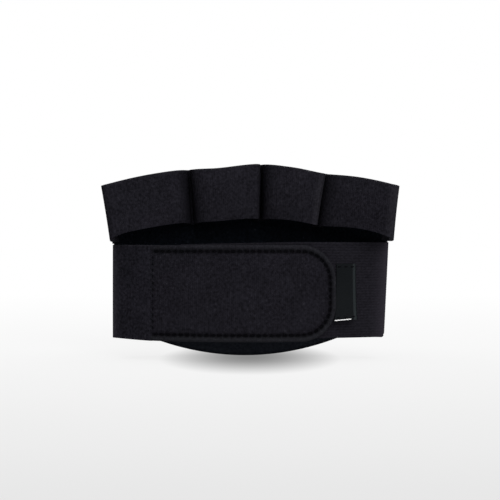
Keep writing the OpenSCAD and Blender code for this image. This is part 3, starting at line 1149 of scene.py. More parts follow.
hook_places = []
for column in HOOK_COLUMNS:
    for row in HOOK_ROWS:
        x = column * HOOK_STEP
        z = TAB_MID_Z + (row + 0.5 * (column % 2)) * HOOK_STEP * HOOK_ROW_SHARE
        if tab_edge_gap(x, z) > HOOK_EDGE and x > -TAB_ROOT_X + HOOK_EDGE:
            place, out = strap_inwards(x, hook_off - HOOK_BASE + HOOK_SUNK, z)
            hook_places.append(set_at(place, (0, 0, 1 if row % 2 else -1), out))
hooks = repeat(model_hook(), "tape_hooks", hook_places)
soften(hooks, angle=60)
print(len(hook_places), "hooks,", faces_of(hooks), "faces")

# %% [markdown]
# The loop tape lies on the elastic, under the tab. Its ground is cut and laid like the other cloth, and a low
# wave over it keeps it from looking like a plate.
# %% Ground of the loop patch
LOOP_BASE = 0.55
LOOP_H = 30
LOOP_INSET = 1
FUZZ_H = 0.06
FUZZ_WAVES = (2.3, 2.9)
loop_gap = math.asin(LOOP_INSET / RIGHT_MID_R)
loop_turns = (free_turn + loop_gap, straight_turn - loop_gap)
LOOP_L = RIGHT_R * (loop_turns[1] - loop_turns[0])


def on_loop_tape(turn, off, z):
    r = RIGHT_R + SEAT_GAP + off
    return (r * math.sin(turn), STRAP_Y - r * math.cos(turn), z)


def loop_place(x, y):
    turn = mix(*loop_turns, x / LOOP_L + 0.5)
    fuzz = FUZZ_H * math.sin(x * FUZZ_WAVES[0]) * math.sin(y * FUZZ_WAVES[1])
    return on_loop_tape(turn, LOOP_BASE / 2 + fuzz, y + BAND_MID_Z)


loop_base = cut_cloth("loop_tape", (LOOP_L, LOOP_H), steps=(64, 44))
lay(loop_base, loop_place)
thicken(loop_base, LOOP_BASE, edge=0.2)
print(loop_base.name, faces_of(loop_base), "faces")

# %% [markdown]
# One pile loop is a thin arch, spun from a small square of thread. Real pile lies every way, so a seeded
# draw shifts and turns the copies, and it gives the same pile each time. Hair particles could do this
# too, but they aren't a mesh and would be lost in an export.
# %% Pile loops
PILE_W = 0.16
PILE_R = 0.42
PILE_SPIN = 6
PILE_STEP = 1.35
PILE_BORDER = 2
PILE_START = 1.4
PILE_SHIFT = 0.3
PILE_SUNK = 0.05
PILE_SEED = 11


def model_pile_loop():
    deselect_all()
    bpy.ops.mesh.primitive_plane_add(size=PILE_W * MM, location=(PILE_R * MM, 0, 0))
    loop = bpy.context.object
    bpy.ops.object.transform_apply(location=True)
    bpy.ops.object.mode_set(mode="EDIT")
    bpy.ops.mesh.select_all(action="SELECT")
    bpy.ops.mesh.spin(steps=PILE_SPIN, angle=-math.pi, center=(0, 0, 0), axis=(0, 1, 0))
    bpy.ops.mesh.select_all(action="SELECT")
    bpy.ops.mesh.normals_make_consistent(inside=False)
    bpy.ops.object.mode_set(mode="OBJECT")
    return loop


draw = random.Random(PILE_SEED)
pile_places = []
for column in range(int((LOOP_L - PILE_BORDER) / PILE_STEP)):
    for row in range(int((LOOP_H - PILE_BORDER) / PILE_STEP)):
        x = PILE_START + (column + draw.uniform(-PILE_SHIFT, PILE_SHIFT)) * PILE_STEP
        z = PILE_START + (row + draw.uniform(-PILE_SHIFT, PILE_SHIFT)) * PILE_STEP
        turn = mix(*loop_turns, x / LOOP_L)
        place = on_loop_tape(turn, LOOP_BASE - PILE_SUNK, BAND_MID_Z - LOOP_H / 2 + z)
        heading = draw.uniform(0, 2 * math.pi)
        along = Vector((math.cos(turn), math.sin(turn), 0))
        ahead = along * math.cos(heading) + Vector((0, 0, math.sin(heading)))
        pile_places.append(set_at(place, ahead, (math.sin(turn), -math.cos(turn), 0)))
pile = repeat(model_pile_loop(), "tape_pile", pile_places)
soften(pile, angle=70)
print(len(pile_places), "pile loops,", faces_of(pile), "faces")

# %% [markdown]
# ## The label
# A small woven label is folded in half and sewn to the elastic, with its fold to the right. It is cut
# twice as wide as it looks, laid along a hairpin line, and given the thickness of ribbon. Only its upper end
# lies tight on the band: towards its lower end it lifts off, slants and splays. Its face stays blank.
# %% Woven label
LABEL_W = 8
label_low, label_high = node_box("woven_label")
LABEL_H = label_high[2] - label_low[2]
LABEL_GAP = 4.6
LABEL_PUFF = 0.1
LABEL_LIFT = 4.6
LABEL_SLANT = 0.35
LABEL_SKEW = 0.8
LABEL_SPLAY = 1.3
RIBBON_T = 0.2
FOLD_R = 0.13
FOLD_STEPS = 8
FOLD_SHORTER = 0.4
label_x = tab_high[0] + LABEL_GAP
label_run = label_x / math.cos(straight_turn) - RIGHT_R * math.tan(straight_turn)
label_across = Vector((math.cos(straight_turn), math.sin(straight_turn), 0))
label_out = Vector((math.sin(straight_turn), -math.cos(straight_turn), 0))
label_foot = Vector((0, STRAP_Y, BAND_MID_Z)) + label_out * RIGHT_R + label_across * label_run

half_w = LABEL_W / 2
hairpin = [(-half_w + FOLD_SHORTER, SEAT_GAP + RIBBON_T / 2)]
for i in range(FOLD_STEPS + 1):
    turn = math.pi * i / FOLD_STEPS
    fold_x = half_w - FOLD_R - RIBBON_T / 2 + FOLD_R * math.sin(turn)
    hairpin.append((fold_x, hairpin[0][1] + FOLD_R * (1 - math.cos(turn))))
hairpin.append((-half_w, hairpin[-1][1]))
hairpin_lengths = line_lengths(hairpin)
RIBBON_L = hairpin_lengths[-1]


def label_place(x, y):
    """The label's lower end stands off the band a little, and hangs lower on its left."""
    across, off = point_along(hairpin, hairpin_lengths, x + RIBBON_L / 2)
    loose = (0.5 - y / LABEL_H) ** 3
    puff = LABEL_PUFF * hump(across / LABEL_W + 0.5) * hump(y / LABEL_H + 0.5) * (x > 0)
    off += puff + LABEL_LIFT * loose
    z = y + LABEL_SLANT * loose * across / half_w
    across -= loose * (LABEL_SKEW + LABEL_SPLAY * (0.5 - across / LABEL_W))
    return label_foot + label_across * across + label_out * off + Vector((0, 0, z))


label = cut_cloth("blank_label", (RIBBON_L, LABEL_H), steps=(72, 40))
lay(label, label_place)
thicken(label, RIBBON_T, edge=0.06)
print(label.name, faces_of(label), "faces")

# %% [markdown]
# ## Stitches
# A stitch is a short length of thread that dives into the cloth at both ends. A bare cylinder would
# look like a pin, so it starts as a sphere with few faces, is drawn out long, and its tips are
# pressed down in two steps.
# %% One stitch
TIP_PRESS = 0.22
# From which share of the half length on the tips are pressed, and by which share
TIP_STEPS = ((0.5, 0.35), (0.8, 0.65))


def model_stitch():
    deselect_all()
    bpy.ops.mesh.primitive_uv_sphere_add(segments=8, ring_count=8, radius=0.5 * MM)
    stitch = bpy.context.object
    bpy.ops.object.mode_set(mode="EDIT")
    bpy.ops.mesh.select_all(action="SELECT")
    bpy.ops.transform.rotate(value=math.pi / 2, orient_axis="Y", center_override=(0, 0, 0))
    bpy.ops.transform.resize(value=(STITCH_L, THREAD_D, THREAD_D), center_override=(0, 0, 0))
    for reach, press in TIP_STEPS:
        bpy.ops.mesh.select_all(action="DESELECT")
        bpy.ops.object.mode_set(mode="OBJECT")
        for v in stitch.data.vertices:
            v.select = abs(v.co.x) > reach * STITCH_L / 2 * MM
        bpy.ops.object.mode_set(mode="EDIT")
        bpy.ops.transform.translate(value=(0, 0, -press * TIP_PRESS * MM))
    bpy.ops.object.mode_set(mode="OBJECT")
    return stitch


print(f"a stitch is {STITCH_L} mm long, of {THREAD_D} mm thread")

# %% [markdown]
# The same stitch is now set along every row: the rows on the palm side, the tab's two rows, of which the
# longer also shows on its back, and a short row at each end of the label.
# %% Stitch rows
LABEL_ROW_IN = 2.4 * THREAD_D
THREAD_REST = 0.12
STITCH_ANGLE = 80


def palm_row(row):
    places = []
    for x, z, heading in even_steps(row, False):
        place, out = palm_frame(x, z)
        places.append(set_at(place, (math.cos(heading), 0, math.sin(heading)), out))
    return places


def strap_row(steps, off, way, length=1.0):
    """Stitches on the strap's arc. Their way is 1 on its outer side and -1 on its inner side."""
    places = []
    for x, z, heading in steps:
        turn = x / STRAP_R
        place = on_strap(strap_along(x), off, z)
        ahead = (math.cos(heading) * math.cos(turn), math.cos(heading) * math.sin(turn), math.sin(heading))
        out = (way * place[0], way * (place[1] - STRAP_Y), 0)
        places.append(set_at(place, ahead, out) @ Matrix.Diagonal((length, 1, 1, 1)))
    return places


def label_row(end):
    """Stitches across the label's front, at its upper end, 1, or its lower end, -1."""
    places = []
    for x, _, _ in even_steps([(-half_w, 0), (half_w, 0)], True):
        place = Vector(label_place(RIBBON_L / 4 - x, end * (LABEL_H / 2 - LABEL_ROW_IN)))
        places.append(set_at(place + label_out * RIBBON_T / 2, label_across, label_out))
    return places


stitch_off = THREAD_REST - CHANNEL_DEPTH - DIMPLE_DEPTH
root_off = THREAD_REST - DIMPLE_DEPTH
back_off = hook_off - HOOK_BASE
tab_rows = strap_row(free_steps, stitch_off, 1) + strap_row(root_steps, root_off, 1, ROOT_STITCH)
tab_rows += strap_row(free_steps, back_off, -1)
finger_places = [place for row in finger_rows for place in palm_row(row)]
side_places = [place for row in side_rows for place in palm_row(row)]
finger_stitches = repeat(model_stitch(), "finger_seam_stitches", finger_places)
side_stitches = repeat(model_stitch(), "side_seam_stitches", side_places)
label_stitches = repeat(model_stitch(), "label_stitches", label_row(-1) + label_row(1))
tab_stitches = repeat(model_stitch(), "tab_stitches", tab_rows)
for stitches in (finger_stitches, side_stitches, label_stitches, tab_stitches):
    soften(stitches, STITCH_ANGLE)
    print(stitches.name, faces_of(stitches), "faces")

# %% [markdown]
# ## Building shader nodes
# Every finish is a small net of shader nodes. They could be set one by one in the shader editor. In code,
# a few helpers keep each finish short: one adds any node and links or fills its inputs, one does sums, and
# one mixes two colours.
# %% Node helpers
FULL_TURN = 2 * math.pi


def add(tree, kind, inputs=None, **settings):
    """Adds a shader node, sets it up, and links or fills its inputs."""
    made = tree.nodes.new("ShaderNode" + kind)
    for key, value in settings.items():
        setattr(made, key, value)
    for socket, value in (inputs or {}).items():
        if isinstance(value, bpy.types.NodeSocket):
            tree.links.new(value, made.inputs[socket])
        else:
            made.inputs[socket].default_value = value
    return made


def sums(tree, operation, a, b=0.0, c=0.0):
    return add(tree, "Math", {0: a, 1: b, 2: c}, operation=operation).outputs[0]


def blend_colours(tree, share, a, b):
    return add(tree, "Mix", {0: share, 6: a, 7: b}, data_type="RGBA").outputs[2]


def new_group(name, inputs, outputs):
    group = bpy.data.node_groups.new(name, "ShaderNodeTree")
    for label, kind, value in inputs:
        socket = group.interface.new_socket(label, in_out="INPUT", socket_type="NodeSocket" + kind)
        if value is not None:
            socket.default_value = value
    for label in outputs:
        group.interface.new_socket(label, in_out="OUTPUT", socket_type="NodeSocketFloat")
    return group, group.nodes.new("NodeGroupInput"), group.nodes.new("NodeGroupOutput")


def put_out(group, outlet, **values):
    for label, value in values.items():
        group.links.new(value, outlet.inputs[label])


print("a net of nodes is built by helpers for one node, a sum, a mix and a group")

# %% [markdown]
# ## Node groups for cloth
# Several finishes need the same things: the small loops of a knit, soft clouds where cloth has rubbed,
# and specks of lint. Each is a node group with named sockets, built once. Knit and elastic read the flat
# place on the cloth, so that they bend with it, and the clouds and specks read object coordinates.
# %% Knit, wear and rib groups
LEG_DEPTH = 0.25
LINT_FROM = 0.7
LINT_TO = 0.78


def jersey_group():
    """Columns of small V-shaped loops, in millimetres of flat cloth."""
    sockets = [("Cloth", "Vector", None), ("Column", "Float", 0.8), ("Course", "Float", 0.6)]
    group, inlet, outlet = new_group("jersey_knit", sockets, ["Height"])
    flat = add(group, "SeparateXYZ", {0: inlet.outputs["Cloth"]})
    column = sums(group, "FRACT", sums(group, "DIVIDE", flat.outputs[0], inlet.outputs["Column"]))
    border = sums(group, "MULTIPLY", sums(group, "ABSOLUTE", sums(group, "SUBTRACT", column, 0.5)), 2)
    crown = sums(group, "SUBTRACT", 1, sums(group, "MULTIPLY", border, border))
    course = sums(group, "DIVIDE", flat.outputs[1], inlet.outputs["Course"])
    leg = sums(group, "SINE", sums(group, "MULTIPLY", sums(group, "ADD", course, border), FULL_TURN))
    height = sums(group, "MULTIPLY", crown, sums(group, "MULTIPLY_ADD", leg, LEG_DEPTH, 1 - LEG_DEPTH))
    put_out(group, outlet, Height=height)
    return group


def rubbed_group():
    """Soft clouds and specks of lint, by the place in the object."""
    sockets = [("Cloud Size", "Float", 80), ("Lint Size", "Float", 1000)]
    group, inlet, outlet = new_group("rubbed_cloth", sockets, ["Cloud", "Lint", "Grain"])
    place = add(group, "TexCoord").outputs["Object"]
    cloud = add(group, "TexNoise", {"Vector": place, "Scale": inlet.outputs["Cloud Size"], "Detail": 3})
    grain = add(group, "TexNoise", {"Vector": place, "Scale": inlet.outputs["Lint Size"], "Detail": 2})
    lint = add(group, "MapRange", {0: grain.outputs[0], 1: LINT_FROM, 2: LINT_TO, 3: 0, 4: 1})
    put_out(group, outlet, Cloud=cloud.outputs[0], Lint=lint.outputs[0], Grain=grain.outputs[0])
    return group


def ribbed_group():
    """Fine cross threads on the elastic's ribs, in millimetres of flat cloth."""
    sockets = [("Cloth", "Vector", None), ("Thread", "Float", 0.55), ("Rib", "Float", RIB_STEP)]
    group, inlet, outlet = new_group("elastic_threads", sockets, ["Height", "Ridge"])
    flat = add(group, "SeparateXYZ", {0: inlet.outputs["Cloth"]})
    threads = sums(group, "DIVIDE", flat.outputs[0], inlet.outputs["Thread"])
    thread = sums(group, "MULTIPLY", threads, FULL_TURN)
    ribs = sums(group, "DIVIDE", flat.outputs[1], inlet.outputs["Rib"])
    rib = sums(group, "MULTIPLY", ribs, FULL_TURN)
    ridge = sums(group, "MULTIPLY_ADD", sums(group, "COSINE", rib), 0.5, 0.5)
    cross = sums(group, "SINE", sums(group, "ADD", thread, rib))
    put_out(group, outlet, Height=sums(group, "MULTIPLY_ADD", cross, 0.5, 0.5), Ridge=ridge)
    return group


knit_group = jersey_group()
wear_group = rubbed_group()
thread_group = ribbed_group()
print("node groups:", ", ".join(g.name for g in bpy.data.node_groups))

# %% [markdown]
# ## Finishes
# All the cloth is near black. What tells one from another is the size of the knit, the grain, and the painted
# highlights, light and shade on its edges, rim, groove and lip. Values that stay the same all over, such as
# how little fibre reflects, are set on the shader itself. A finish gets its varying colour, roughness and
# bump from the groups.
# %% Starting and ending a finish
FIBRE = {"Specular IOR Level": 0.01}
RUBBER = {"Specular IOR Level": 0.15}
SATIN = {"Specular IOR Level": 0.05}
BUMP_STRENGTH = 0.6


def new_finish(name, constants):
    finish = bpy.data.materials.new(name)
    finish.use_nodes = True
    shader = finish.node_tree.nodes["Principled BSDF"]
    for socket, value in constants.items():
        shader.inputs[socket].default_value = value
    return finish, finish.node_tree, shader


def use_group(tree, group, inputs=None):
    return add(tree, "Group", inputs, node_tree=group)


def cloth_place(tree):
    return add(tree, "Attribute", attribute_name="cloth").outputs["Vector"]


def weighted(tree, value, weight, rest):
    """A value times its weight, added to the rest."""
    return sums(tree, "MULTIPLY_ADD", value, weight, rest)


def dress(tree, shader, colour, roughness, height, depth):
    """Links a finish's varying colour, roughness and bump to its shader."""
    bump = add(tree, "Bump", {"Height": height, "Strength": BUMP_STRENGTH, "Distance": depth * MM})
    tree.links.new(colour, shader.inputs["Base Color"])
    tree.links.new(roughness, shader.inputs["Roughness"])
    tree.links.new(bump.outputs["Normal"], shader.inputs["Normal"])


print("constants of fibre, rubber and satin:", FIBRE, RUBBER, SATIN)

# %% [markdown]
# ## Knit
# The strip, the tab, the left band and the lining are knit. Knit is two tones of one yarn, mixed by the
# relief of its loops, a fine grain and soft clouds. Where the cloth keeps a share, it goes over to two other
# tones:
# these paint highlights on edges and the tab's rim, shade in the tab's groove, and light on the lining's lip.
# A picture of cloth could be laid on instead, but a built pattern fits any cut.
# %% Knit finishes
KNIT_WEIGHT = 0.2
GRAIN_WEIGHT = 1.8
CLOUD_WEIGHT = 0.6
SHADE_SHIFT = 0.85
GRAIN_HEIGHT = 0.4
LINT_WEIGHT = 0.15
LINT_TONE = (0.06, 0.06, 0.065, 1)
KNIT_DULL = 0.8
DULL_CHANGE = 0.15


def knit_finish(name, tones, touches, column, course, depth):
    """Knit cloth of two tones. A touch is another two tones, where the cloth keeps a share of that name."""
    finish, tree, shader = new_finish(name, FIBRE)
    knit = use_group(tree, knit_group, {"Cloth": cloth_place(tree), "Column": column, "Course": course})
    rubbed = use_group(tree, wear_group)
    cloud = rubbed.outputs["Cloud"]
    grain = rubbed.outputs["Grain"]
    shade = weighted(tree, grain, GRAIN_WEIGHT, sums(tree, "MULTIPLY", knit.outputs[0], KNIT_WEIGHT))
    shade = weighted(tree, cloud, CLOUD_WEIGHT, sums(tree, "SUBTRACT", shade, SHADE_SHIFT))
    colour = blend_colours(tree, shade, *tones)
    for share, touch_dark, touch_light in touches:
        kept = add(tree, "Attribute", attribute_name=share).outputs["Fac"]
        colour = blend_colours(tree, kept, colour, blend_colours(tree, shade, touch_dark, touch_light))
    lint_share = sums(tree, "MULTIPLY", rubbed.outputs["Lint"], LINT_WEIGHT)
    colour = blend_colours(tree, lint_share, colour, LINT_TONE)
    roughness = weighted(tree, cloud, DULL_CHANGE, KNIT_DULL)
    dress(tree, shader, colour, roughness, weighted(tree, grain, GRAIN_HEIGHT, knit.outputs[0]), depth)
    return finish


# A touch: the share's name, and the dark and the light tone
# Painted highlight on edges that catch light
EDGE_HIGHLIGHT_TONES = ("painted_highlight", (0.016, 0.0152, 0.019, 1), (0.03, 0.0285, 0.035, 1))
# Painted highlight on the tab's rim, and painted shade in its stitched groove
TAB_RIM_HIGHLIGHT = ("rim", (0.0108, 0.0108, 0.013, 1), (0.0195, 0.0196, 0.0234, 1))
TAB_GROOVE_SHADE = ("groove", (0.0016, 0.0016, 0.002, 1), (0.0024, 0.0024, 0.003, 1))
# Painted light on the lining's lip
LIT_LIP_TONES = ("lip", (0.0105, 0.0122, 0.0168, 1), (0.0222, 0.0248, 0.0318, 1))
strip_tones = (0.0053, 0.005, 0.0067, 1), (0.0172, 0.0163, 0.0216, 1)
tab_tones = (0.0052, 0.0049, 0.0065, 1), (0.0157, 0.0149, 0.0198, 1)
band_tones = (0.0047, 0.0045, 0.0061, 1), (0.0162, 0.0155, 0.0208, 1)
# The lining's own tones are darkened as painted shade for its inside between strip and strap
shaded_lining_tones = (0.0013, 0.0017, 0.0026, 1), (0.0042, 0.0054, 0.008, 1)
strip_knit = knit_finish("strip_knit", strip_tones, [EDGE_HIGHLIGHT_TONES], column=0.85, course=0.7, depth=0.16)
tab_knit = knit_finish("tab_knit", tab_tones, [TAB_RIM_HIGHLIGHT, TAB_GROOVE_SHADE], column=0.8, course=0.62, depth=0.16)
band_knit = knit_finish("band_knit", band_tones, [EDGE_HIGHLIGHT_TONES], column=0.7, course=0.7, depth=0.14)
lining_knit = knit_finish("lining_knit", shaded_lining_tones, [LIT_LIP_TONES], column=0.6, course=0.5, depth=0.08)
print("knit finishes:", ", ".join(finish.name for finish in (strip_knit, tab_knit, band_knit, lining_knit)))

# %% [markdown]
# ## Elastic
# The right band's ribs are already waves in its mesh. The finish adds the threads that cross them, makes the
# ridges a little paler than the furrows, and paints a highlight on the band towards its sewn end, where it
# turns round the side and catches light.
# %% Elastic finish
THREAD_WEIGHT = 0.5
RIDGE_WEIGHT = 0.35
ELASTIC_GRAIN = 1.4
ELASTIC_SHIFT = 0.625
ELASTIC_TONES = (0.006, 0.0057, 0.0075, 1), (0.0152, 0.0143, 0.0187, 1)
ELASTIC_GRAIN_HEIGHT = 0.3
ELASTIC_DULL = 0.75
ELASTIC_DEPTH = 0.08
# The painted highlight at the sewn end starts this far before it, and would be full this far past it
PALE_FROM = 8
PALE_TO = 1
PALE_POWER = 2
END_HIGHLIGHT_TONE = (0.031, 0.0275, 0.036, 1)


def elastic_finish():
    finish, tree, shader = new_finish("ribbed_elastic", FIBRE)
    ribs = use_group(tree, thread_group, {"Cloth": cloth_place(tree)})
    rubbed = use_group(tree, wear_group)
    grain = rubbed.outputs["Grain"]
    ridges = sums(tree, "MULTIPLY", ribs.outputs["Ridge"], RIDGE_WEIGHT)
    shade = weighted(tree, ribs.outputs["Height"], THREAD_WEIGHT, ridges)
    shade = weighted(tree, grain, ELASTIC_GRAIN, sums(tree, "SUBTRACT", shade, ELASTIC_SHIFT))
    colour = blend_colours(tree, shade, *ELASTIC_TONES)
    along = add(tree, "SeparateXYZ", {0: cloth_place(tree)}).outputs[0]
    sewn_end = RIGHT_L / 2
    pale = add(tree, "MapRange", {0: along, 1: sewn_end - PALE_FROM, 2: sewn_end + PALE_TO, 3: 0, 4: 1})
    colour = blend_colours(tree, sums(tree, "POWER", pale.outputs[0], PALE_POWER), colour, END_HIGHLIGHT_TONE)
    roughness = weighted(tree, rubbed.outputs["Cloud"], DULL_CHANGE, ELASTIC_DULL)
    height = weighted(tree, grain, ELASTIC_GRAIN_HEIGHT, ribs.outputs["Height"])
    dress(tree, shader, colour, roughness, height, ELASTIC_DEPTH)
    return finish


elastic = elastic_finish()
print("finish:", elastic.name)

# %% [markdown]
# ## Rubber, foam, thread and tape
# These are dull and finely grained. They could each have a net of their own, but they differ only in their
# tones, the fineness and depth of the grain and how dull they are, so one function makes all five.
# %% Grained finishes
GRAINED_GRAIN = 0.6
GRAINED_CLOUD = 0.5
GRAINED_CHANGE = 0.2


def grained_finish(name, tones, constants, grain, depth, roughness):
    """A dull finish of two tones. Its grain is finer with a higher number."""
    finish, tree, shader = new_finish(name, constants)
    rubbed = use_group(tree, wear_group, {"Lint Size": grain})
    cloud = rubbed.outputs["Cloud"]
    clouds = sums(tree, "MULTIPLY", cloud, GRAINED_CLOUD)
    shade = weighted(tree, rubbed.outputs["Grain"], GRAINED_GRAIN, clouds)
    colour = blend_colours(tree, shade, *tones)
    rough = weighted(tree, cloud, GRAINED_CHANGE, roughness)
    dress(tree, shader, colour, rough, rubbed.outputs["Grain"], depth)
    return finish


rubber_tones = (0.008, 0.008, 0.0088, 1), (0.018, 0.018, 0.0195, 1)
foam_tones = (0.012, 0.012, 0.013, 1), (0.035, 0.035, 0.037, 1)
thread_tones = (0.0015, 0.0015, 0.002, 1), (0.005, 0.005, 0.006, 1)
pile_tones = (0.004, 0.004, 0.005, 1), (0.013, 0.013, 0.015, 1)
nylon_tones = (0.004, 0.004, 0.0045, 1), (0.011, 0.011, 0.012, 1)
skin = grained_finish("grip_rubber", rubber_tones, RUBBER, grain=900, depth=0.08, roughness=0.55)
foam = grained_finish("cut_foam", foam_tones, RUBBER, grain=2200, depth=0.15, roughness=0.75)
thread = grained_finish("sewing_thread", thread_tones, FIBRE, grain=3000, depth=0.05, roughness=0.5)
fluff = grained_finish("loop_pile", pile_tones, FIBRE, grain=2600, depth=0.12, roughness=0.8)
nylon = grained_finish("hook_nylon", nylon_tones, RUBBER, grain=2000, depth=0.05, roughness=0.35)
print("grained finishes:", ", ".join(finish.name for finish in (skin, foam, thread, fluff, nylon)))

# %% [markdown]
# ## Satin
# The label is satin ribbon: fine threads that cross, a painted highlight along its fold where the curve
# catches light, and one plain pale line woven in at its lower end. A strip of mesh could make that line, but
# a woven line has no height, so it is a colour. All are found from the flat place on the ribbon, with its
# fold in the middle and its front to the right of that.
# %% Label finish
WARP_STEP = 0.5
WEFT_STEP = 0.7
SATIN_TONES = (0.0023, 0.003, 0.0038, 1), (0.0045, 0.0059, 0.0072, 1)
SATIN_DULL = 0.5
SATIN_CHANGE = 0.2
SATIN_DEPTH = 0.05
# Painted highlight along the fold, where its curve catches light
FOLD_X = 0.6
FOLD_HIGHLIGHT_W = 1
FOLD_HIGHLIGHT_TONE = (0.0145, 0.0178, 0.0195, 1)
LABEL_LINE_UP = 0.3
LABEL_LINE_W = 0.35
LABEL_LINE_X = 2
LINE_TONE = (0.75, 0.75, 0.75, 1)


def near(tree, value, middle, width):
    """1 where a value is within half a width of the middle, and 0 elsewhere."""
    away = sums(tree, "ABSOLUTE", sums(tree, "SUBTRACT", value, middle))
    return sums(tree, "LESS_THAN", away, width / 2)


def label_finish():
    finish, tree, shader = new_finish("satin_label", SATIN)
    flat = add(tree, "SeparateXYZ", {0: cloth_place(tree)})
    across = flat.outputs[0]
    warp = sums(tree, "SINE", sums(tree, "MULTIPLY", across, FULL_TURN / WARP_STEP))
    weft = sums(tree, "SINE", sums(tree, "MULTIPLY", flat.outputs[1], FULL_TURN / WEFT_STEP))
    weave = weighted(tree, sums(tree, "MULTIPLY", warp, weft), 0.5, 0.5)
    colour = blend_colours(tree, weave, *SATIN_TONES)
    colour = blend_colours(tree, near(tree, across, FOLD_X, FOLD_HIGHLIGHT_W), colour, FOLD_HIGHLIGHT_TONE)
    on_line = near(tree, flat.outputs[1], LABEL_LINE_UP - LABEL_H / 2, LABEL_LINE_W)
    in_front = sums(tree, "GREATER_THAN", across, LABEL_LINE_X)
    colour = blend_colours(tree, sums(tree, "MULTIPLY", on_line, in_front), colour, LINE_TONE)
    rubbed = use_group(tree, wear_group)
    roughness = weighted(tree, rubbed.outputs["Cloud"], SATIN_CHANGE, SATIN_DULL)
    dress(tree, shader, colour, roughness, weave, SATIN_DEPTH)
    return finish


satin = label_finish()
print("finish:", satin.name)

# %% [markdown]
# ## Dressing the frame
# Each new piece now takes its finish, hides the solid it stands for, and rides on that solid's body if it has
# one. A list with one row a piece keeps all of this in one place.
# %% Finish and body of each piece
# A row: the piece, its finish, the body it rides on or None, the solid it stands for, and its slot
DRESSED = [
    (palm_lining, lining_knit, "palm", "palm_lining", "lining"),
    (palm_foam, foam, "palm", "palm_foam", "foam"),
    (palm_face, skin, "palm", "palm_face", "grip_skin"),
    (grip_dots, skin, "palm", None, "grip_skin"),
    (finger_band, strip_knit, "palm", "finger_band", "knit"),
    (finger_stitches, thread, "palm", "finger_stitching", "thread"),
    (side_stitches, thread, "palm", "side_stitching", "thread"),
    (right_band, elastic, "palm", "right_band", "elastic"),
    (loop_base, fluff, "palm", "loop_patch", "loop_pile"),
    (pile, fluff, "palm", None, "loop_pile"),
    (label, satin, "palm", "woven_label", "label"),
    (label_stitches, thread, "palm", "label_stitching", "thread"),
    (left_band, band_knit, None, "left_band", "knit"),
    (closure_tab, tab_knit, None, "closure_tab", "knit"),
    (hook_base, nylon, None, "hook_patch", "hook_tape"),
    (hooks, nylon, None, None, "hook_tape"),
    (tab_stitches, thread, None, "tab_stitching", "thread"),
]
for piece, finish, body, solid, slot in DRESSED:
    piece.data.materials.clear()
    piece.data.materials.append(finish)
    if solid:
        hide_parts(solid)
    if body:
        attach(piece, body)
print(len(DRESSED), "pieces dressed")


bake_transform(left_band)
for piece in (closure_tab, hook_base, hooks, tab_stitches):
    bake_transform(piece)


# %% [markdown]
# ## Floor
# The photo is a studio shot: a white ground that turns pale grey towards the viewer, with a soft oval of
# shade in front of the lip. Lamps alone would have to be so strong for a white floor that the black cloth
# would turn grey. So most of the floor's tone is a glow that the camera and reflections see, and the rest
# is lit and takes the part's shadow.
# %% Floor
FLOOR_SIZE = 30
FLOOR_START = -0.25
FLOOR_END = 0.55
FLOOR_BOUNCE = 0.8
FLOOR_GLOW = 0.88
SHADE_X = 0.037
SHADE_Y = 0.06
SHADE_PLACE = 0.005
SHADE_DEPTH = 0.7
SHADE_POWER = 1.3
# Tones of the ground from near to far: the place in depth and the tone
FLOOR_TONES = [(FLOOR_START, 0.78), (-0.18, 0.845), (-0.1, 0.89), (0.04, 0.94), (0.33, 0.98), (FLOOR_END, 1)]
BLACK = (0, 0, 0, 1)


def ground_shade(tree):
    """The photo's soft oval of shade on the ground in front of the lip, from 0 to its depth."""
    place = add(tree, "SeparateXYZ", {0: add(tree, "TexCoord").outputs["Object"]})
    across = sums(tree, "DIVIDE", place.outputs[0], SHADE_X)
    ahead = sums(tree, "DIVIDE", sums(tree, "SUBTRACT", place.outputs[1], SHADE_PLACE), SHADE_Y)
    square = sums(tree, "MULTIPLY_ADD", across, across, sums(tree, "MULTIPLY", ahead, ahead))
    inside = sums(tree, "MAXIMUM", sums(tree, "SUBTRACT", 1, square), 0)
    return sums(tree, "MULTIPLY", sums(tree, "POWER", inside, SHADE_POWER), SHADE_DEPTH)


def floor_finish():
    finish, tree, shader = new_finish("studio_floor", {"Roughness": 1, "Specular IOR Level": 0})
    place = add(tree, "SeparateXYZ", {0: add(tree, "TexCoord").outputs["Object"]})
    depth = add(tree, "MapRange", {0: place.outputs[1], 1: FLOOR_START, 2: FLOOR_END, 3: 0, 4: 1})
    ramp = add(tree, "ValToRGB", {0: depth.outputs[0]})
    stops = ramp.color_ramp.elements
    for far, _ in FLOOR_TONES[1:-1]:
        stops.new((far - FLOOR_START) / (FLOOR_END - FLOOR_START))
    for stop, (_, tone) in zip(stops, FLOOR_TONES):
        stop.color = (tone, tone, tone, 1)
    ground = blend_colours(tree, ground_shade(tree), ramp.outputs[0], BLACK)
    path = add(tree, "LightPath")
    seen = sums(tree, "MAXIMUM", path.outputs["Is Camera Ray"], path.outputs["Is Glossy Ray"])
    lit = blend_colours(tree, FLOOR_GLOW, ground, BLACK)
    lit = blend_colours(tree, seen, (FLOOR_BOUNCE, FLOOR_BOUNCE, FLOOR_BOUNCE, 1), lit)
    tree.links.new(lit, shader.inputs["Base Color"])
    tree.links.new(ground, shader.inputs["Emission Color"])
    tree.links.new(sums(tree, "MULTIPLY", seen, FLOOR_GLOW), shader.inputs["Emission Strength"])
    return finish


deselect_all()
bpy.ops.mesh.primitive_plane_add(size=FLOOR_SIZE)
floor = bpy.context.object
floor.name = "floor"
floor.data.materials.append(floor_finish())
print(f"floor {FLOOR_SIZE} m wide, with {len(FLOOR_TONES)} tones from near to far")

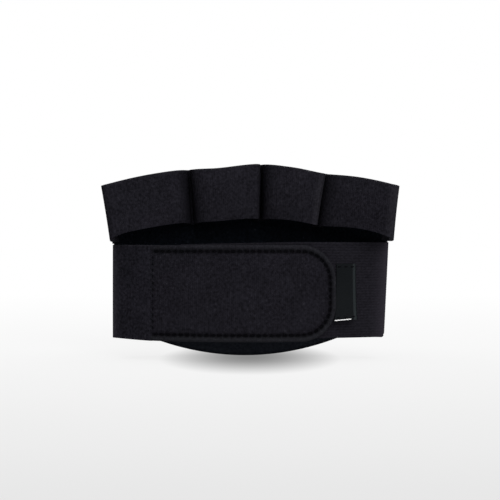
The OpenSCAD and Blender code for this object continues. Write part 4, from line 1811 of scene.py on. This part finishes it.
# %% [markdown]
# ## Light
# A wide soft sun stands low in front, a little to the right, and lights the cloth's face. A second one from
# above lights the upper edges, and a weak world fills the shadows. Area lamps could do the same, but a sun
# is equally strong at any distance. To the camera the world is plain white.
# %% Light
WORLD_LEVEL = 0.15
KEY_LEVEL = 0.62
KEY_TURN = 18
KEY_HEIGHT = 24
KEY_SPREAD = 40
TOP_LEVEL = 0.6
TOP_HEIGHT = 85
TOP_SPREAD = 60


def light_world():
    world = bpy.data.worlds.new("studio")
    world.use_nodes = True
    bpy.context.scene.world = world
    tree = world.node_tree
    light = tree.nodes["Background"]
    light.inputs["Color"].default_value = (1, 1, 1, 1)
    path = add(tree, "LightPath")
    seen = sums(tree, "MAXIMUM", path.outputs["Is Camera Ray"], path.outputs["Is Transmission Ray"])
    level = add(tree, "MapRange", {0: seen, 1: 0, 2: 1, 3: WORLD_LEVEL, 4: 1})
    tree.links.new(level.outputs[0], light.inputs["Strength"])


def add_sun(name, level, azimuth, height, spread):
    """A soft sun: a white sheet that faces it renders at this level."""
    sun = bpy.data.lights.new(name, "SUN")
    sun.energy = level * math.pi
    sun.angle = math.radians(spread)
    lamp = bpy.data.objects.new(name, sun)
    lamp.rotation_euler = (math.radians(90 - height), 0, math.radians(azimuth))
    bpy.context.scene.collection.objects.link(lamp)


light_world()
add_sun("soft_key_light", KEY_LEVEL, KEY_TURN, KEY_HEIGHT, KEY_SPREAD)
add_sun("soft_top_light", TOP_LEVEL, 0, TOP_HEIGHT, TOP_SPREAD)
bpy.context.scene.view_settings.view_transform = "Standard"
print(f"world at {WORLD_LEVEL}, key light at {KEY_LEVEL}, top light at {TOP_LEVEL}")

# %% [markdown]
# ## Camera
# The photo is taken level and straight from the front. The camera's distance and the width of its view at the
# middle of the part are chosen, and the lens follows from them.
# %% Camera
CAMERA_BACK = 400
CAMERA_Z = 43.3
VIEW_W = 200
SENSOR_W = 36
camera = bpy.data.cameras.new("photo_camera")
camera.sensor_width = SENSOR_W
camera.lens = SENSOR_W * CAMERA_BACK / VIEW_W
view = bpy.data.objects.new("photo_camera", camera)
view.location = (0, -CAMERA_BACK * MM, CAMERA_Z * MM)
view.rotation_euler = (math.pi / 2, 0, 0)
bpy.context.scene.collection.objects.link(view)
bpy.context.scene.camera = view
print(f"camera lens {camera.lens:.0f} mm")
